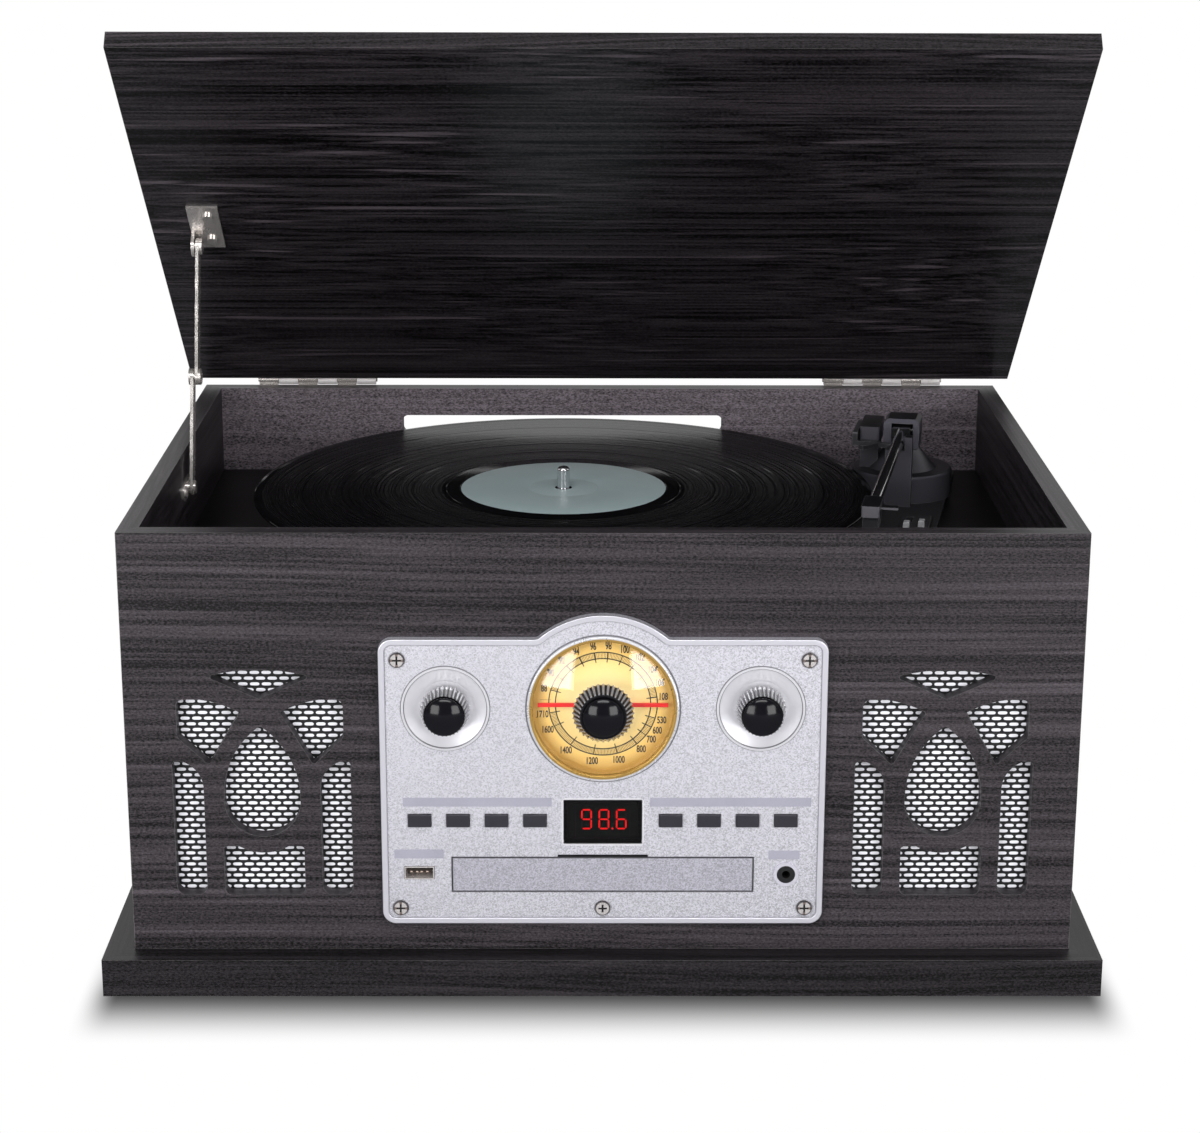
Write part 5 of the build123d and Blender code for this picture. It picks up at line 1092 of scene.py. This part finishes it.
# %% [markdown]
# ## The record
#
# A long-playing record is 301 mm across: a raised rim, a band of grooves cut into tracks, a smooth
# run-out and a label. The profile is turned round the spindle. The grooves are far finer than a
# pixel, so they are a bump that depends only on the distance from the spindle. The gloss is drawn
# out across them: its direction is the way round the disc, which is the cross product of the way
# outward and the spindle's axis.

# %% Vinyl and label
disc_x, disc_depth, disc_top = -18.5, 161.25, 189.8
track_gaps = (74.0, 91.5, 108.0, 127.0)
vinyl, shader, place = finish_of("grooved vinyl", Specular_IOR_Level=0.05, Anisotropic=0.9)
spindle_x, spindle_y, _ = spot(disc_x, disc_depth, 0)
flat = vectors("MULTIPLY", place, (1, 1, 0))
radius = vectors("DISTANCE", flat, (spindle_x, spindle_y, 0))


def ring_noise(scale, detail):
    """Noise that depends only on the distance from the spindle."""
    values = dict(noise_dimensions="1D", W=radius, Scale=scale, Detail=detail)
    return Out(node_in(radius.tree, "TexNoise", **values).outputs["Fac"])


cut, broad = ring_noise(4200.0, 1.0), ring_noise(700.0, 3.0)
between = 0.0
for gap in track_gaps:
    between = ramp(abs(radius - gap / 1000), 0.0006, 0.0003) | between
grooved = ramp(radius, 0.0592, 0.0596) * ramp(radius, 0.1466, 0.1462) * (1.0 - between)
feed(shader, Base_Color=scaled((1.0, 0.96, 1.12), broad * 0.011 - 0.001))
feed(shader, Roughness=grooved * (ramp(broad, 0.35, 0.65) * 0.2 + 0.08) + 0.05)
relief(shader, cut, grooved * 0.14 + 0.02)
outward = vectors("SUBTRACT", flat, (spindle_x, spindle_y, 0))
feed(shader, Tangent=vectors("CROSS_PRODUCT", outward, (0, 0, 1)))

rise = [(3.65, -1.4), (3.65, 0.0), (50.4, 0.0), (50.6, -0.12), (57.0, -0.12), (57.2, -0.06), (57.5, -0.12)]
for gap in track_gaps:
    rise += [(gap - 0.9, -0.12), (gap - 0.7, -0.17), (gap + 0.7, -0.17), (gap + 0.9, -0.12)]
rise += [(146.4, -0.12), (146.8, -0.06), (148.6, 0.0)] + arc(90, -90, (149.9, -0.7), 0.6, 7)
rise += [(148.6, -1.4), (3.65, -1.4)]
disc = lathe("record_disc", rise, (disc_x, disc_depth, disc_top), "up", 240, smooth=5)
fit(disc, "platter", "record_vinyl", vinyl, "record")

paper, shader, place = finish_of("label paper", Specular_IOR_Level=0.35)
fibre = noise(stretched(place, (1.0, 2.2, 1.0)), 1400.0, 3.0, 0.6)
cloud = ramp(noise(place, 40.0, 3.0), 0.3, 0.7)
pale_blue = mixed(cloud * 0.3 + fibre * 0.5, (0.4, 0.51, 0.52), (0.5, 0.6, 0.61))
feed(shader, Base_Color=pale_blue, Roughness=fibre * 0.2 + 0.3)
relief(shader, fibre, 0.15)
sheet_of = [(4.2, 0.0), (4.2, 0.08), (16.8, 0.08), (17.1, 0.02), (17.4, 0.08)]
sheet_of += [(49.8, 0.08), (50.0, 0.0), (4.2, 0.0)]
label = lathe("record_label", sheet_of, (disc_x, disc_depth, disc_top + 0.02), "up", 180)
fit(label, "platter", "record_vinyl", paper)
print("record across:", round(max(r for r, _ in rise) * 2, 1), "mm")

# %% [markdown]
# ## Grille cloth
#
# The cloth behind each fretwork is a coarse weave: flat white threads that show as short dashes,
# each row shifted by half a dash, held by thin black threads. It is stretched over the opening. The
# surface is a grid whose height follows the same brick pattern as the colour: a dash is the
# region |u|^4 + |v|^2.4 below one, in units of the dash's half length and half height.

# %% The weave group, its finish and the two cloths
pitch, row = 5.2, 2.66
half_dash, half_row = 0.4, 0.28
weave, given, gives = group("dash weave", dict(UV=None), dict(Dash="Float", Thread="Float"))
across, down, _ = axes(given["UV"])
odd = down.step("FLOOR").step("FLOORED_MODULO", 2.0)
u = abs((odd * 0.5 + across).step("FRACT") - 0.5) / half_dash
v = abs(down.step("FRACT") - 0.5) / half_row
wire(ramp(u.step("POWER", 4.0) + v.step("POWER", 2.4), 1.2, 0.75), gives["Dash"])
wire((down * (6 * math.pi)).step("SINE") * 0.5 + 0.5, gives["Thread"])

cloth, shader, place = finish_of("grille cloth", Specular_IOR_Level=0.5, Roughness=0.55)
look = use(weave, Out(node_in(place.tree, "UVMap", uv_map="weave").outputs[0]))
fuzz = noise(place, 2600.0, 3.0)
white = mixed(look["Thread"] * 0.25 + fuzz * 0.6, (0.86, 0.85, 0.95), (1.0, 1.0, 1.0))
feed(shader, Base_Color=mixed(look["Dash"], (0.006, 0.006, 0.007), white))
relief(shader, look["Thread"] * 0.4 + fuzz, 0.4, 0.0002)

cloth_wide, cloth_tall, cloth_high = 88.0, 116.0, 96.6
cloth_front, cloth_back, thick, dash_rise = 7.52, 7.9, 0.38, 0.22
for label, middle in (("left", -150.5), ("right", 150.5)):
    columns, rows = int(cloth_wide / pitch * 8) + 1, int(cloth_tall / row * 5) + 1
    across = np.linspace(-cloth_wide / 2, cloth_wide / 2, columns)
    high = np.linspace(-cloth_tall / 2, cloth_tall / 2, rows)
    grid_x, grid_z = np.meshgrid(across, high)
    units_u, units_v = grid_x / pitch + 20, grid_z / row + 40
    part_u = np.abs(np.mod(units_u + 0.5 * np.mod(np.floor(units_v), 2), 1) - 0.5) / half_dash
    part_v = np.abs(np.mod(units_v, 1) - 0.5) / half_row
    swell = dash_rise * np.sqrt(np.clip(1.1 - part_u**4 - part_v**2.4, 0, 1))
    hem = np.zeros((rows, 1))
    hem[[0, -1]] = 1
    depth = cloth_front - swell + (thick + swell) * hem
    front = spots(middle + grid_x, depth, cloth_high + grid_z)
    back = spots(middle + grid_x[:, ::-1], cloth_back, cloth_high + grid_z[:, ::-1])
    piece = grid_piece("cloth_" + label, np.concatenate([front, back], axis=1).transpose(1, 0, 2))
    units = np.stack([units_u, units_v], axis=-1)
    map_of = np.concatenate([units, units[:, ::-1]], axis=1).transpose(1, 0, 2).reshape(-1, 2)
    corner = np.empty(len(piece.data.loops), dtype=np.int32)
    piece.data.loops.foreach_get("vertex_index", corner)
    layer = piece.data.uv_layers.new(name="weave")
    layer.data.foreach_set("uv", map_of[corner].reshape(-1).astype(np.float32))
    fit(tidy_mesh(piece, 80), "cabinet", "grille_cloth", cloth)
    print(piece.name, len(piece.data.polygons), "faces")
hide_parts("speaker_cloths")
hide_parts("speaker_cloths")

# %% [markdown]
# ## USB socket
#
# A plated steel shell round a black tongue with four contacts. They are one piece from CAD, so the
# finish tells them apart by the place: what lies inside the shell is plastic, and the contacts are
# the four spots 1 and 3.5 mm from the middle, |||x| - 2.25| - 1.25| below half a millimetre.

# %% The socket's two finishes in one
shell, shader, place = finish_of("socket shell and tongue")
x, _, z = axes(place)
low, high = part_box("usb_socket")
half, middle = (high - low) / 2, (low + high) / 2
from_side, from_mid = abs(x - middle.x), abs(z - middle.z)
shell_wall = 0.0006
core = from_side.step("LESS_THAN", half.x - shell_wall) * from_mid.step("LESS_THAN", half.z - shell_wall)
look = use(brushed, place, Stretch=(0.2, 1, 1), Rough=0.2)
shade = mixed(core, scaled((0.95, 0.9, 0.88), look["Shade"]), (0.02, 0.012, 0.009))
contacts = abs(abs(from_side - 0.00225) - 0.00125).step("LESS_THAN", 0.0005)
contacts = contacts * z.step("LESS_THAN", middle.z + 0.0006) * core
feed(shader, Base_Color=mixed(contacts, shade, (0.55, 0.42, 0.34)))
feed(shader, Metallic=core * -0.6 + 0.6, Roughness=core * 0.2 + look["Roughness"])
dress(shell, "usb_socket")
print("usb middle:", [round(v * 1000, 2) for v in middle])

# %% [markdown]
# ## Sizes
#
# Both boxes, the CAD model's and the visual model's, are printed side by side. The visual
# model may not grow past the CAD model.

# %% Sizes
sizes = {"cad": cad_box, "visual": [list(map(float, corner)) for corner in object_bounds()]}
print("sizes:", sizes)
